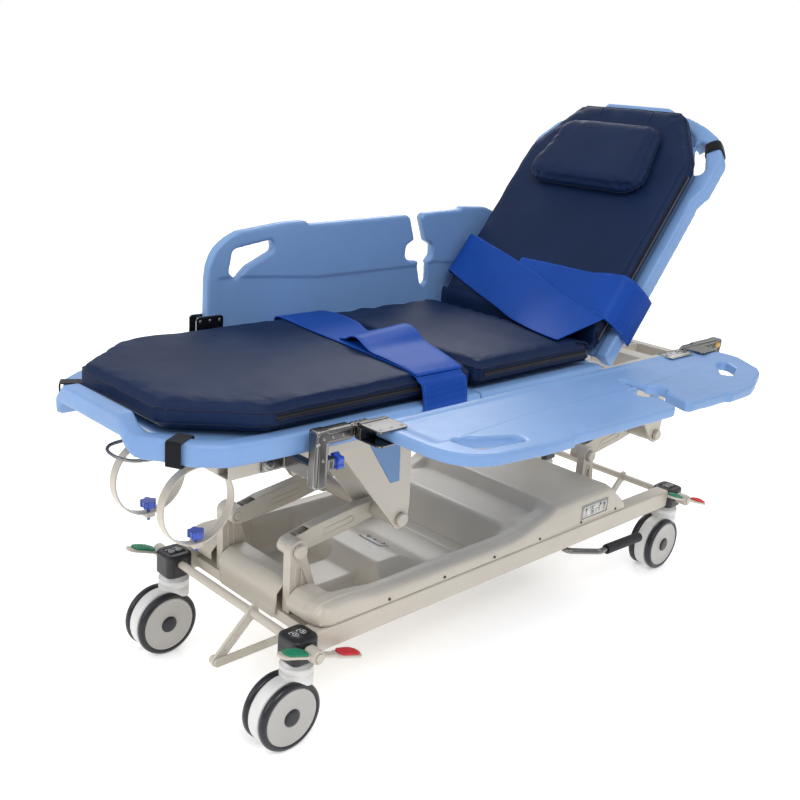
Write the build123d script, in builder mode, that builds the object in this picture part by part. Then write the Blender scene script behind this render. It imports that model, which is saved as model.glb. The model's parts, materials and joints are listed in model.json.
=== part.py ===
from build123d import *
import os
from math import cos, radians, sin

os.makedirs("parts", exist_ok=True)

# A patient transfer trolley, +X towards the head end, +Z up, X and Y zero at the centre of
# the four caster stems. Lengths below are drawing millimetres; save() sets the drawing down
# on the floor and scales it so that the wheels measure TRUE_WHEEL_R.

# ---- driving dimensions -------------------------------------------------------
FIT = 0.05  # radial running clearance of every shaft in its bore

# casters
TRUE_WHEEL_R = 75
WHEEL_R = 88
AXLE_Z = 100
TYRE_WIDTH = 28
DISC_R = 74
GUARD_R = 84
HUB_CAP_R = 23
TWIN_OFFSET = 28  # from the caster's middle plane to the middle of each wheel
TRAIL = 39
STEM_X = 800
STEM_Y = 262
STEM_R = 12
STEM_TOP = 18  # how far the stem reaches into its housing
AXLE_R = 8
COLLAR_TOP = 228  # underside of the caster housings
COLLAR_R = 37
TREAD_ROUNDING = 10

# base frame
RAIL_INNER = 238
RAIL_OUTER = 286
RAIL_BOTTOM = 232
RAIL_TOP = 290
HOUSING = 76
HOUSING_HEIGHT = 64
ROD_Z = 264
ROD_R = 11
PEDAL_TILT = 19
PEDAL_Y = 323
GREEN_PAD = -62  # middle of each pad along the pedal, from the cross rod
RED_PAD = 108
LEVER_Y = -85
LEVER_DX = -103
LEVER_DZ = -98

# lift: two pairs of parallel arms between fixed posts and hanging brackets
ARM_LENGTH = 280
ARM_TILT = 7.6
ELBOW_Z = 432.5
FOOT_ELBOW_X = -717
HEAD_ELBOW_X = 469
ARM_INNER = 92
ARM_OUTER = 124
POST_OUTER = 152
BRACKET_INNER = 77
BRACKET_OUTER = 212
PLATE = 7
PIN_R = 12
PIN_CAP = 12
PIN_CAP_R = 18
ARM_HALF_DEPTH = 27

# deck
SUBFRAME_BOTTOM = 712
SUBFRAME_TOP = 750
SUBFRAME_OUTER = 250
SUBFRAME_INNER = 210
DECK_BOTTOM = 765
DECK_TOP = 815
FLOOR_BOTTOM = 794
FLOOR_TOP = 806
DECK_HALF = 330
RIM_WIDTH = 42
HANDLE_TOP = 850
HANDLE_BOTTOM = 806
LEG_END = -313
SEAT_START = -307
HINGE_X = 210
HINGE_Z = 800
BACK_ANGLE = 52

# mattress
CUSHION_BOTTOM = 819
CUSHION_TOP = 880
CUSHION_HALF = 303

# side rails
AXIS_Y = 352
AXIS_Z = 812
RAIL_THICK = 28
PANEL_LOW = 20
PANEL_FOOT = 657
PANEL_HEAD = 690
CLAMP_X = 655
FOOT_OPENING = [(-583, 254), (-448, 275), (-442, 245), (-525, 208), (-563, 176), (-589, 192)]
HEAD_OPENING = [(452, 228), (470, 252), (560, 214), (592, 168), (578, 152), (540, 166)]
KNUCKLE_R = 15
HINGE_PIN_R = 6
# the right rail sits further towards the foot end than the left one
RAIL_SHIFT = {-1: -65, 1: 0}

# oxygen bottle rings
RING_X = -976
RING_Z = 600
RING_Y = 100
RING_R = 94
RING_BAND = 24

ARM_END_DX = ARM_LENGTH * cos(radians(ARM_TILT))
ARM_END_DZ = ARM_LENGTH * sin(radians(ARM_TILT))
BRACKET_Z = ELBOW_Z + ARM_END_DZ
SIDES = (-1, 1)


def save(part, name):
    """Writes one sub-part at true size with the floor at z = 0."""
    true_size = TRUE_WHEEL_R / WHEEL_R
    placed = Pos(0, 0, (WHEEL_R - AXLE_Z) * true_size) * scale(part, by=true_size)
    placed.label = name
    export_step(placed, f"parts/{name}.step")


def side_view(y=0):
    """Plane for profiles in world X and Z; extruding goes towards -Y."""
    return Plane(origin=(0, y, 0), x_dir=(1, 0, 0), z_dir=(0, -1, 0))


# ---- casters --------------------------------------------------------------------
def caster(x, y, name):
    axle_x = x - TRAIL
    wheel_inner = TWIN_OFFSET - TYRE_WIDTH / 2
    wheel_outer = TWIN_OFFSET + TYRE_WIDTH / 2
    with BuildPart() as fork:
        # mudguard and neck between the twin wheels
        with BuildSketch(side_view(y)):
            with Locations((axle_x, AXLE_Z)):
                Circle(GUARD_R)
            with Locations((x, COLLAR_TOP - 60)):
                Rectangle(2 * COLLAR_R, 70)
        extrude(amount=wheel_inner - 1, both=True)
        # axle through both wheels
        with BuildSketch(side_view(y)):
            with Locations((axle_x, AXLE_Z)):
                Circle(AXLE_R)
        extrude(amount=wheel_outer - 4, both=True)
        # stepped collar and swivel stem
        for low, high, radius in (
            (-36, -16, COLLAR_R),
            (-16, -1, COLLAR_R - 2),
            (-2, STEM_TOP, STEM_R),
        ):
            with BuildSketch(Plane.XY.offset(COLLAR_TOP + low)):
                with Locations((x, y)):
                    Circle(radius)
            extrude(amount=high - low)
    save(fork.part, f"caster_fork_{name}")

    with BuildPart() as discs:
        for side in SIDES:
            with BuildSketch(side_view(y + side * TWIN_OFFSET)):
                with Locations((axle_x, AXLE_Z)):
                    Circle(DISC_R)
                    Circle(AXLE_R + FIT, mode=Mode.SUBTRACT)
            extrude(amount=TYRE_WIDTH / 2 - 1, both=True)
    save(discs.part, f"caster_wheels_{name}")

    with BuildPart() as tyres:
        for side in SIDES:
            with BuildSketch(side_view(y + side * TWIN_OFFSET)):
                with Locations((axle_x, AXLE_Z)):
                    Circle(WHEEL_R)
            extrude(amount=TYRE_WIDTH / 2, both=True)
        fillet(tyres.edges().filter_by(GeomType.CIRCLE), TREAD_ROUNDING)
        with BuildSketch(side_view(y)):
            with Locations((axle_x, AXLE_Z)):
                Circle(DISC_R)
        extrude(amount=WHEEL_R, both=True, mode=Mode.SUBTRACT)
        # hub caps cover the axle ends
        for side in SIDES:
            with BuildSketch(side_view(y + side * (wheel_outer + 1))):
                with Locations((axle_x, AXLE_Z)):
                    Circle(HUB_CAP_R)
            extrude(amount=2, both=True)
    save(tyres.part, f"caster_tyres_{name}")


for end, x in (("foot", -STEM_X), ("head", STEM_X)):
    for hand, y in (("right", -STEM_Y), ("left", STEM_Y)):
        caster(x, y, f"{end}_{hand}")

# ---- base frame ------------------------------------------------------------------
RAIL_END = STEM_X - HOUSING / 2
# start and end of each cross member along X
MEMBERS = ((-745, -645), (-90, -40), (424, 520))
MEMBER_Z = 254
MEMBER_HEIGHT = 28
TUBE_WALL = 3
with BuildPart() as base_frame:
    with BuildSketch(Plane.YZ):
        for side in SIDES:
            with Locations((side * (RAIL_INNER + RAIL_OUTER) / 2, (RAIL_BOTTOM + RAIL_TOP) / 2)):
                RectangleRounded(RAIL_OUTER - RAIL_INNER, RAIL_TOP - RAIL_BOTTOM, 6)
                Rectangle(
                    RAIL_OUTER - RAIL_INNER - 2 * TUBE_WALL,
                    RAIL_TOP - RAIL_BOTTOM - 2 * TUBE_WALL,
                    mode=Mode.SUBTRACT,
                )
    extrude(amount=RAIL_END, both=True)
    for low, high in MEMBERS:
        with BuildSketch(side_view()):
            with Locations(((low + high) / 2, MEMBER_Z)):
                Rectangle(high - low, MEMBER_HEIGHT)
                Rectangle(
                    high - low - 2 * TUBE_WALL, MEMBER_HEIGHT - 2 * TUBE_WALL, mode=Mode.SUBTRACT
                )
        extrude(amount=RAIL_INNER + 1, both=True)
save(base_frame.part, "base_frame")

with BuildPart() as caster_housings:
    with BuildSketch(Plane.XY.offset(COLLAR_TOP)):
        with GridLocations(2 * STEM_X, 2 * STEM_Y, 2, 2):
            RectangleRounded(HOUSING, HOUSING, 18)
    extrude(amount=HOUSING_HEIGHT)
    fillet(caster_housings.faces().group_by(Axis.Z)[-1].edges(), 8)
    with BuildSketch(Plane.XY.offset(COLLAR_TOP)):
        with GridLocations(2 * STEM_X, 2 * STEM_Y, 2, 2):
            Circle(STEM_R + FIT)
    extrude(amount=STEM_TOP + 1, mode=Mode.SUBTRACT)
    with BuildSketch(side_view()):
        with Locations((-STEM_X, ROD_Z), (STEM_X, ROD_Z)):
            Circle(ROD_R + FIT)
    extrude(amount=2 * STEM_Y, both=True, mode=Mode.SUBTRACT)
save(caster_housings.part, "caster_housings")

# ---- moulded base cover -----------------------------------------------------------
COVER_START = -752
COVER_END = 513
SKIN = 4
TRAY_FLOOR = 250
TRAY_EDGE = 318
HUMP_TOP = 385
WELL_X = (-575, -425)
WELL_FLOOR = 214
WELL_Y = 145
WELL_WIDTH = 176
with BuildPart() as base_cover:
    # long wall-to-wall sheet: apron, ridge, tray floor, step, platform, hump, ramp
    with BuildSketch(side_view()):
        with BuildLine():
            Polyline(
                (COVER_START, WELL_FLOOR),
                (COVER_START, 322),
                (-730, 338),
                (-672, 338),
                (-628, TRAY_FLOOR + 30),
                (-600, TRAY_FLOOR + 6),
                (-575, TRAY_FLOOR),
                (-110, TRAY_FLOOR),
                (-98, TRAY_FLOOR + 8),
                (-30, 348),
                (116, 350),
                (138, HUMP_TOP),
                (414, HUMP_TOP),
                (500, 318),
                (COVER_END, 294),
            )
        trace(line_width=SKIN)
    extrude(amount=RAIL_INNER - 3, both=True)
    # side flanges that lie on the long rails
    with BuildSketch(Plane.YZ.offset(COVER_START)):
        for side in SIDES:
            with BuildLine():
                Polyline(
                    (side * (RAIL_INNER - 3), TRAY_FLOOR),
                    (side * (RAIL_INNER - 5), TRAY_EDGE - 6),
                    (side * (RAIL_INNER + 6), TRAY_EDGE),
                    (side * (RAIL_OUTER - 6), TRAY_EDGE - 2),
                    (side * (RAIL_OUTER - 2), RAIL_TOP + 3),
                )
            trace(line_width=SKIN)
    extrude(amount=COVER_END - COVER_START)
    # hump: full-width roof and side walls
    with BuildSketch(side_view()):
        with BuildLine():
            Polyline((116, 350), (138, HUMP_TOP), (414, HUMP_TOP), (500, 318), (COVER_END, 294))
        trace(line_width=SKIN)
    extrude(amount=RAIL_OUTER - 8, both=True)
    for side in SIDES:
        with BuildSketch(side_view(side * (RAIL_OUTER - 8))):
            with BuildLine():
                Polyline(
                    (60, TRAY_EDGE - 4),
                    (138, HUMP_TOP),
                    (414, HUMP_TOP),
                    (500, 318),
                    (COVER_END, 294),
                    (60, 294),
                    close=True,
                )
            make_face()
        extrude(amount=2, both=True)
    # wells that take the hanging brackets when the deck is down
    with BuildSketch(Plane.XY.offset(WELL_FLOOR)):
        for side in SIDES:
            with Locations(((WELL_X[0] + WELL_X[1]) / 2, side * WELL_Y)):
                Rectangle(WELL_X[1] - WELL_X[0], WELL_WIDTH)
    extrude(amount=TRAY_FLOOR - WELL_FLOOR)
    with BuildSketch(Plane.XY.offset(WELL_FLOOR + SKIN)):
        for side in SIDES:
            with Locations(((WELL_X[0] + WELL_X[1]) / 2, side * WELL_Y)):
                Rectangle(WELL_X[1] - WELL_X[0] - 2 * SKIN, WELL_WIDTH - 2 * SKIN)
    extrude(amount=TRAY_FLOOR, mode=Mode.SUBTRACT)
    # slots for the posts, and room for the cross members
    with BuildSketch(Plane.XY.offset(230)):
        for side in SIDES:
            for x in (FOOT_ELBOW_X, HEAD_ELBOW_X):
                with Locations((x + 12, side * (ARM_OUTER + POST_OUTER) / 2)):
                    Rectangle(122, POST_OUTER - ARM_OUTER + 8)
    extrude(amount=200, mode=Mode.SUBTRACT)
    for low, high in MEMBERS:
        with BuildSketch(side_view()):
            with Locations(((low + high) / 2, MEMBER_Z)):
                Rectangle(high - low + 4, MEMBER_HEIGHT + 4)
        extrude(amount=RAIL_INNER, both=True, mode=Mode.SUBTRACT)
save(base_cover.part, "base_cover")

with BuildPart() as cover_screws:
    for side in SIDES:
        facing = Plane(origin=(0, side * (RAIL_OUTER - 0.5), 0), x_dir=(1, 0, 0), z_dir=(0, side, 0))
        with BuildSketch(facing):
            for x in (-530, -330, -130, 70, 270, 450):
                with Locations((x, -303 if side > 0 else 303)):
                    Circle(4)
        extrude(amount=2)
save(cover_screws.part, "cover_screws")

# blank instruction plates on the hump sides
with BuildPart() as info_plates:
    for side in SIDES:
        facing = Plane(origin=(0, side * (RAIL_OUTER - 6), 0), x_dir=(1, 0, 0), z_dir=(0, side, 0))
        with BuildSketch(facing):
            with Locations((322, -345 if side > 0 else 345)):
                RectangleRounded(122, 46, 3)
        extrude(amount=0.8)
save(info_plates.part, "info_plates")


# ---- lift posts -------------------------------------------------------------------
def lift_posts(elbow_x, lean, name):
    """Two posts standing on a cross member; lean is how far the foot runs to +X."""
    with BuildPart() as posts:
        for side in SIDES:
            y = side * (ARM_OUTER + POST_OUTER + 2) / 2
            with BuildSketch(side_view(y)):
                with BuildLine():
                    Polyline(
                        (elbow_x - 26, ELBOW_Z),
                        (elbow_x - 22, 269),
                        (elbow_x + lean, 269),
                        (elbow_x + lean - 8, 310),
                        (elbow_x + 26, ELBOW_Z - 20),
                        (elbow_x + 26, ELBOW_Z),
                        close=True,
                    )
                make_face()
                with Locations((elbow_x, ELBOW_Z)):
                    Circle(27)
            extrude(amount=(POST_OUTER - ARM_OUTER - 2) / 2, both=True)
            # pressed triangular recess in the outer face
            with BuildSketch(side_view(side * POST_OUTER)):
                with BuildLine():
                    Polyline(
                        (elbow_x - 6, 300),
                        (elbow_x + lean - 24, 300),
                        (elbow_x + 12, ELBOW_Z - 46),
                        (elbow_x - 4, ELBOW_Z - 46),
                        close=True,
                    )
                make_face()
            extrude(amount=4, both=True, mode=Mode.SUBTRACT)
        with BuildSketch(side_view()):
            with Locations((elbow_x, ELBOW_Z)):
                Circle(PIN_R + FIT)
        extrude(amount=POST_OUTER + 10, both=True, mode=Mode.SUBTRACT)
    save(posts.part, name)


lift_posts(FOOT_ELBOW_X, 70, "foot_lift_posts")
lift_posts(HEAD_ELBOW_X, 48, "head_lift_posts")


# ---- lift arms ----------------------------------------------------------------------
def lift_arms(elbow_x, name):
    """A pair of pressed channel arms, tilted up towards +X."""
    arm_plane = Plane(
        origin=(elbow_x, 0, ELBOW_Z),
        x_dir=(cos(radians(ARM_TILT)), 0, sin(radians(ARM_TILT))),
        z_dir=(0, -1, 0),
    )
    middle = (ARM_INNER + ARM_OUTER) / 2
    with BuildPart() as arms:
        for side in SIDES:
            with BuildSketch(arm_plane.offset(-side * middle)):
                with BuildLine():
                    Polyline(
                        (0, ARM_HALF_DEPTH - 5),
                        (46, ARM_HALF_DEPTH - 2),
                        (70, ARM_HALF_DEPTH + 2),
                        (210, ARM_HALF_DEPTH + 2),
                        (ARM_LENGTH, ARM_HALF_DEPTH - 5),
                        (ARM_LENGTH, 5 - ARM_HALF_DEPTH),
                        (200, -ARM_HALF_DEPTH),
                        (60, -ARM_HALF_DEPTH),
                        (0, 5 - ARM_HALF_DEPTH),
                        close=True,
                    )
                make_face()
                with Locations((0, 0), (ARM_LENGTH, 0)):
                    Circle(22)
            extrude(amount=(ARM_OUTER - ARM_INNER) / 2, both=True)
            # hollow channel, open at the elbow end
            with BuildSketch(arm_plane.offset(-side * middle)):
                with Locations((ARM_LENGTH / 2 - 24, 0)):
                    Rectangle(ARM_LENGTH - 76, 2 * ARM_HALF_DEPTH - 8)
                with Locations((44, ARM_HALF_DEPTH - 8)):
                    Rectangle(30, 30)
            extrude(amount=(ARM_OUTER - ARM_INNER) / 2 - 4, both=True, mode=Mode.SUBTRACT)
            # pressed oblong in the outer face
            with BuildSketch(arm_plane.offset(-side * (ARM_OUTER - 0.5 * (1 + side)))):
                with Locations((140, 0)):
                    SlotOverall(90, 18)
            extrude(amount=0.8, both=True)
        with BuildSketch(arm_plane):
            with Locations((0, 0), (ARM_LENGTH, 0)):
                Circle(PIN_R)
        extrude(amount=ARM_OUTER + 4, both=True, mode=Mode.SUBTRACT)
    save(arms.part, name)
    return arm_plane


def arm_pins(arm_plane, name):
    """Pins of one arm pair with their round caps; they turn with the arms."""
    with BuildPart() as pins:
        for side in SIDES:
            # elbow pins run through the posts, deck pins through the bracket plates
            for x, inner, outer in (
                (0, ARM_INNER, POST_OUTER),
                (ARM_LENGTH, BRACKET_INNER - 4, BRACKET_OUTER),
            ):
                for radius, low, high in (
                    (PIN_R - 0.02, inner, outer + 1),
                    (PIN_CAP_R, outer + 1, outer + 1 + PIN_CAP),
                ):
                    with BuildSketch(arm_plane.offset(-side * (low + high) / 2)):
                        with Locations((x, 0)):
                            Circle(radius)
                    extrude(amount=(high - low) / 2, both=True)
    save(pins.part, name)


foot_plane = lift_arms(FOOT_ELBOW_X, "foot_lift_arms")
arm_pins(foot_plane, "foot_arm_pins")
head_plane = lift_arms(HEAD_ELBOW_X, "head_lift_arms")
arm_pins(head_plane, "head_arm_pins")

# ---- central brake linkage -----------------------------------------------------------
pedal_dir = (cos(radians(PEDAL_TILT)), 0, -sin(radians(PEDAL_TILT)))
pedal_normal = (sin(radians(PEDAL_TILT)), 0, cos(radians(PEDAL_TILT)))


def brake_shaft(x, name):
    """Cross rod with its welded lever, whose lower end carries the link bar."""
    lever = Plane(origin=(x, LEVER_Y, ROD_Z), x_dir=(LEVER_DX, 0, LEVER_DZ), z_dir=(0, 1, 0))
    length = (LEVER_DX**2 + LEVER_DZ**2) ** 0.5
    with BuildPart() as shaft:
        with BuildSketch(side_view()):
            with Locations((x, ROD_Z)):
                Circle(ROD_R)
        extrude(amount=PEDAL_Y + 22, both=True)
        with BuildSketch(lever):
            SlotCenterToCenter(length * 2, 26)
            with Locations((-length, 0)):
                Rectangle(2 * length - 30, 60, mode=Mode.SUBTRACT)
            Circle(18)
            with Locations((length, 0)):
                Circle(6 + FIT, mode=Mode.SUBTRACT)
            with Locations((length * 0.62, 0)):
                SlotOverall(46, 9, mode=Mode.SUBTRACT)
        extrude(amount=4, both=True)
    save(shaft.part, name)


def pedals(x, end):
    """Rocking pedals on both ends of a cross rod, a green and a red pad on each."""
    with BuildPart() as levers:
        for side in SIDES:
            y = side * PEDAL_Y
            with BuildSketch(side_view(y)):
                with Locations((x, ROD_Z)):
                    Circle(18)
            extrude(amount=19, both=True)
            top = Plane(origin=(x, y, ROD_Z), x_dir=pedal_dir, z_dir=pedal_normal)
            with BuildSketch(top):
                with Locations((GREEN_PAD - 2, 0), (RED_PAD - 2, 0)):
                    SlotOverall(96, 34)
                with Locations(((GREEN_PAD + RED_PAD) / 2, 0)):
                    Rectangle(RED_PAD - GREEN_PAD, 22)
            extrude(amount=4, both=True)
            with BuildSketch(side_view(y)):
                with Locations((x, ROD_Z)):
                    Circle(ROD_R + 0.02)
            extrude(amount=30, both=True, mode=Mode.SUBTRACT)
    save(levers.part, f"{end}_pedals")
    for colour, place in (("green", GREEN_PAD), ("red", RED_PAD)):
        with BuildPart() as pads:
            for side in SIDES:
                top = Plane(
                    origin=(x, side * PEDAL_Y, ROD_Z), x_dir=pedal_dir, z_dir=pedal_normal
                )
                with BuildSketch(top.offset(4)):
                    with Locations((place, 0)):
                        SlotOverall(66, 27)
                extrude(amount=5)
                with BuildSketch(top.offset(9)):
                    with Locations((place, 0)):
                        with GridLocations(9, 1, 5, 1):
                            SlotOverall(20, 4, rotation=90)
                extrude(amount=2)
        save(pads.part, f"{end}_{colour}_pads")


for end, x in (("foot", -STEM_X), ("head", STEM_X)):
    brake_shaft(x, f"{end}_brake_shaft")
    pedals(x, end)

with BuildPart() as brake_link_bar:
    bar_y = LEVER_Y - 8.5
    with BuildSketch(side_view(bar_y)):
        with Locations((LEVER_DX, ROD_Z + LEVER_DZ)):
            SlotCenterToCenter(2 * STEM_X, 22)
            # the head end's hole is the linkage's open pivot
            with Locations((STEM_X, 0)):
                Circle(7, mode=Mode.SUBTRACT)
    extrude(amount=3, both=True)
    with BuildSketch(side_view(bar_y)):
        with Locations((LEVER_DX - STEM_X, ROD_Z + LEVER_DZ)):
            Circle(6)
    extrude(amount=-20)
    with BuildSketch(side_view(bar_y + 15)):
        with Locations((LEVER_DX - STEM_X, ROD_Z + LEVER_DZ)):
            Circle(11)
    extrude(amount=-8)
save(brake_link_bar.part, "brake_link_bar")

# ---- hydraulic unit and its foot pedal --------------------------------------------------
PUMP_X = 290
PUMP_AXIS_Y = -90
PUMP_AXIS_Z = 205
with BuildPart() as hydraulic_pump:
    with BuildSketch(Plane.XY.offset(222)):
        with Locations((PUMP_X, -20)):
            RectangleRounded(110, 90, 10)
    extrude(amount=110)
    with BuildSketch(Plane.YZ.offset(180)):
        with Locations((60, 300)):
            Circle(32)
    extrude(amount=220)
    # lugs that carry the pedal shaft
    for x in (PUMP_X - 32, PUMP_X + 32):
        with BuildSketch(Plane.YZ.offset(x)):
            with Locations((PUMP_AXIS_Y, PUMP_AXIS_Z)):
                Circle(17)
            with Locations((-70, 228)):
                Rectangle(50, 30)
            with Locations((PUMP_AXIS_Y, PUMP_AXIS_Z)):
                Circle(9 + FIT, mode=Mode.SUBTRACT)
        extrude(amount=6, both=True)
    # feet on a plate that ties the unit to the head cross member
    with BuildSketch(Plane.XY.offset(268)):
        with Locations((375, 0)):
            Rectangle(120, 60)
    extrude(amount=6)
save(hydraulic_pump.part, "hydraulic_pump")

with BuildPart() as pump_pedal_bar:
    with BuildSketch(Plane.YZ.offset(PUMP_X)):
        with Locations((PUMP_AXIS_Y, PUMP_AXIS_Z)):
            Circle(9)
    extrude(amount=40, both=True)
    with BuildLine() as bar_path:
        FilletPolyline(
            (PUMP_X, PUMP_AXIS_Y, PUMP_AXIS_Z),
            (PUMP_X, -240, 184),
            (PUMP_X + 80, -302, 184),
            (592, -302, 176),
            radius=26,
        )
    with BuildSketch(Plane(origin=bar_path.line @ 0, z_dir=bar_path.line % 0)):
        Circle(9)
    sweep(path=bar_path.line)
save(pump_pedal_bar.part, "pump_pedal_bar")

with BuildPart() as pump_pedal_grip:
    grip_plane = Plane(origin=(405, -302, 181.5), x_dir=(0, 1, 0), z_dir=(592 - 370, 0, -8))
    with BuildSketch(grip_plane):
        Circle(15)
    extrude(amount=188)
    fillet(pump_pedal_grip.edges().filter_by(GeomType.CIRCLE), 3)
    with BuildSketch(grip_plane):
        Circle(9.6)
    extrude(amount=188.5, mode=Mode.SUBTRACT)
save(pump_pedal_grip.part, "pump_pedal_grip")

# ---- deck subframe with the hanging lift brackets -----------------------------------------
FOOT_PIN_X = FOOT_ELBOW_X + ARM_END_DX
HEAD_PIN_X = HEAD_ELBOW_X + ARM_END_DX
PIN_XS = (FOOT_PIN_X, HEAD_PIN_X)
INSERT_TOP = 706
INSERT_LOW = 576
SUBFRAME_MIDDLE = (SUBFRAME_TOP + SUBFRAME_BOTTOM) / 2
with BuildPart() as deck_subframe:
    with BuildSketch(Plane.YZ.offset(-1000)):
        for side in SIDES:
            with Locations((side * (SUBFRAME_INNER + SUBFRAME_OUTER) / 2, SUBFRAME_MIDDLE)):
                Rectangle(40, 38)
                Rectangle(34, 32, mode=Mode.SUBTRACT)
    extrude(amount=1805)
    for x in (-985, -560, 60, 420, 785):
        with BuildSketch(side_view()):
            with Locations((x, SUBFRAME_MIDDLE)):
                Rectangle(34, 34)
                Rectangle(28, 28, mode=Mode.SUBTRACT)
        extrude(amount=SUBFRAME_INNER + 1, both=True)
    for pin_x in PIN_XS:
        for low, high in (
            (BRACKET_OUTER - PLATE, BRACKET_OUTER),
            (BRACKET_INNER, BRACKET_INNER + PLATE),
        ):
            for side in SIDES:
                # tapered plate from the subframe down to the pin
                with BuildSketch(side_view(side * (low + high) / 2)):
                    with BuildLine():
                        Polyline(
                            (pin_x - 236, SUBFRAME_TOP),
                            (pin_x - 236, SUBFRAME_BOTTOM),
                            (pin_x - 78, BRACKET_Z + 54),
                            (pin_x - 24, BRACKET_Z - 12),
                            (pin_x + 26, BRACKET_Z - 6),
                            (pin_x + 29, BRACKET_Z + 40),
                            (pin_x + 14, SUBFRAME_TOP),
                            close=True,
                        )
                    make_face()
                    with Locations((pin_x, BRACKET_Z)):
                        Circle(27)
                extrude(amount=PLATE / 2, both=True)
        for side in SIDES:
            # folded web that ties the two plates together above the arm's sweep
            with BuildSketch(Plane.XY.offset(SUBFRAME_TOP - 80)):
                with Locations((pin_x - 120, side * (BRACKET_INNER + BRACKET_OUTER) / 2)):
                    Rectangle(60, BRACKET_OUTER - BRACKET_INNER - 4)
            extrude(amount=80)
            # boss that fills the gap between arm and outer plate
            boss_start = ARM_OUTER + 2
            boss_end = BRACKET_OUTER - 1
            with BuildSketch(side_view(side * (boss_start + boss_end) / 2)):
                with Locations((pin_x, BRACKET_Z)):
                    Circle(24)
            extrude(amount=(boss_end - boss_start) / 2, both=True)
    # tubes that tie the left and right brackets together on the pin axis
    with BuildSketch(side_view()):
        with Locations((FOOT_PIN_X, BRACKET_Z), (HEAD_PIN_X, BRACKET_Z)):
            Circle(21)
    extrude(amount=BRACKET_INNER + 1, both=True)
    with BuildSketch(side_view()):
        with Locations((FOOT_PIN_X, BRACKET_Z), (HEAD_PIN_X, BRACKET_Z)):
            Circle(PIN_R + FIT)
    extrude(amount=BRACKET_OUTER + 10, both=True, mode=Mode.SUBTRACT)
save(deck_subframe.part, "deck_subframe")

# coloured plastic inserts glued on the bracket faces
with BuildPart() as bracket_inserts:
    for side in SIDES:
        facing = side_view(side * (BRACKET_OUTER + 1))
        for pin_x in PIN_XS:
            with BuildSketch(facing):
                with BuildLine():
                    Polyline(
                        (pin_x - 136, INSERT_TOP),
                        (pin_x - 22, INSERT_TOP),
                        (pin_x - 14, INSERT_LOW),
                        (pin_x - 46, INSERT_LOW),
                        close=True,
                    )
                make_face()
            extrude(amount=1, both=True)
save(bracket_inserts.part, "bracket_inserts")

# ---- moulded deck sections ------------------------------------------------------------------
STRAP_X = -1099
STRAP_Y = 221
LEG_CORNERS = ((-930, 318), (-1040, 306), (-1100, 262), (-1135, 200), (-1178, 150))


def octagon(points):
    """Closed outline from its +Y half, listed from the hinge end to the free end."""
    upper = list(points)
    lower = [(x, -y) for x, y in reversed(upper)]
    return Polyline(*upper, *lower, close=True)


def arch(half):
    """Cross-section band of the rim, raised in the middle to form a lifting handle."""
    return Polyline(
        (-half, DECK_BOTTOM - HINGE_Z),
        (-165, DECK_BOTTOM - HINGE_Z),
        (-125, HANDLE_BOTTOM - HINGE_Z),
        (125, HANDLE_BOTTOM - HINGE_Z),
        (165, DECK_BOTTOM - HINGE_Z),
        (half, DECK_BOTTOM - HINGE_Z),
        (half, DECK_TOP - HINGE_Z),
        (150, DECK_TOP - HINGE_Z),
        (112, HANDLE_TOP - HINGE_Z),
        (-112, HANDLE_TOP - HINGE_Z),
        (-150, DECK_TOP - HINGE_Z),
        (-half, DECK_TOP - HINGE_Z),
        close=True,
    )


with BuildPart() as leg_deck:
    with BuildSketch(Plane.XY.offset(DECK_BOTTOM)) as leg_outer:
        with BuildLine():
            octagon(((LEG_END, DECK_HALF), *LEG_CORNERS))
        make_face()
        fillet(leg_outer.vertices().group_by(Axis.X)[:-1], 30)
    extrude(amount=HANDLE_TOP - DECK_BOTTOM)
    fillet(leg_deck.faces().group_by(Axis.Z)[0].edges(), 8)
    with BuildSketch(Plane.XY.offset(DECK_BOTTOM)) as leg_inner:
        offset(leg_outer.sketch.face(), amount=-RIM_WIDTH, kind=Kind.INTERSECTION)
        with Locations((LEG_END, 0)):
            Rectangle(2 * RIM_WIDTH, 2 * (DECK_HALF - RIM_WIDTH))
    extrude(amount=HANDLE_TOP, mode=Mode.SUBTRACT)
    with BuildSketch(Plane.YZ.offset(-1300).shift_origin((-1300, 0, HINGE_Z))):
        with BuildLine():
            arch(DECK_HALF + 20)
        make_face()
    extrude(amount=1300 + LEG_END, mode=Mode.INTERSECT)
    with BuildSketch(Plane.XY.offset(FLOOR_BOTTOM)):
        with BuildLine():
            octagon(((LEG_END, 300), (-930, 290), (-1030, 278), (-1075, 240), (-1100, 190), (-1100, 150)))
        make_face()
    extrude(amount=FLOOR_TOP - FLOOR_BOTTOM)
    # slots beside the rim that the corner straps pass through
    with BuildSketch(Plane.XY.offset(FLOOR_BOTTOM)):
        for side in SIDES:
            with Locations(Location((STRAP_X + 29, side * (STRAP_Y - 16)), -side * 30)):
                Rectangle(14, 46)
    extrude(amount=FLOOR_TOP - FLOOR_BOTTOM, mode=Mode.SUBTRACT)
save(leg_deck.part, "leg_deck")

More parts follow.
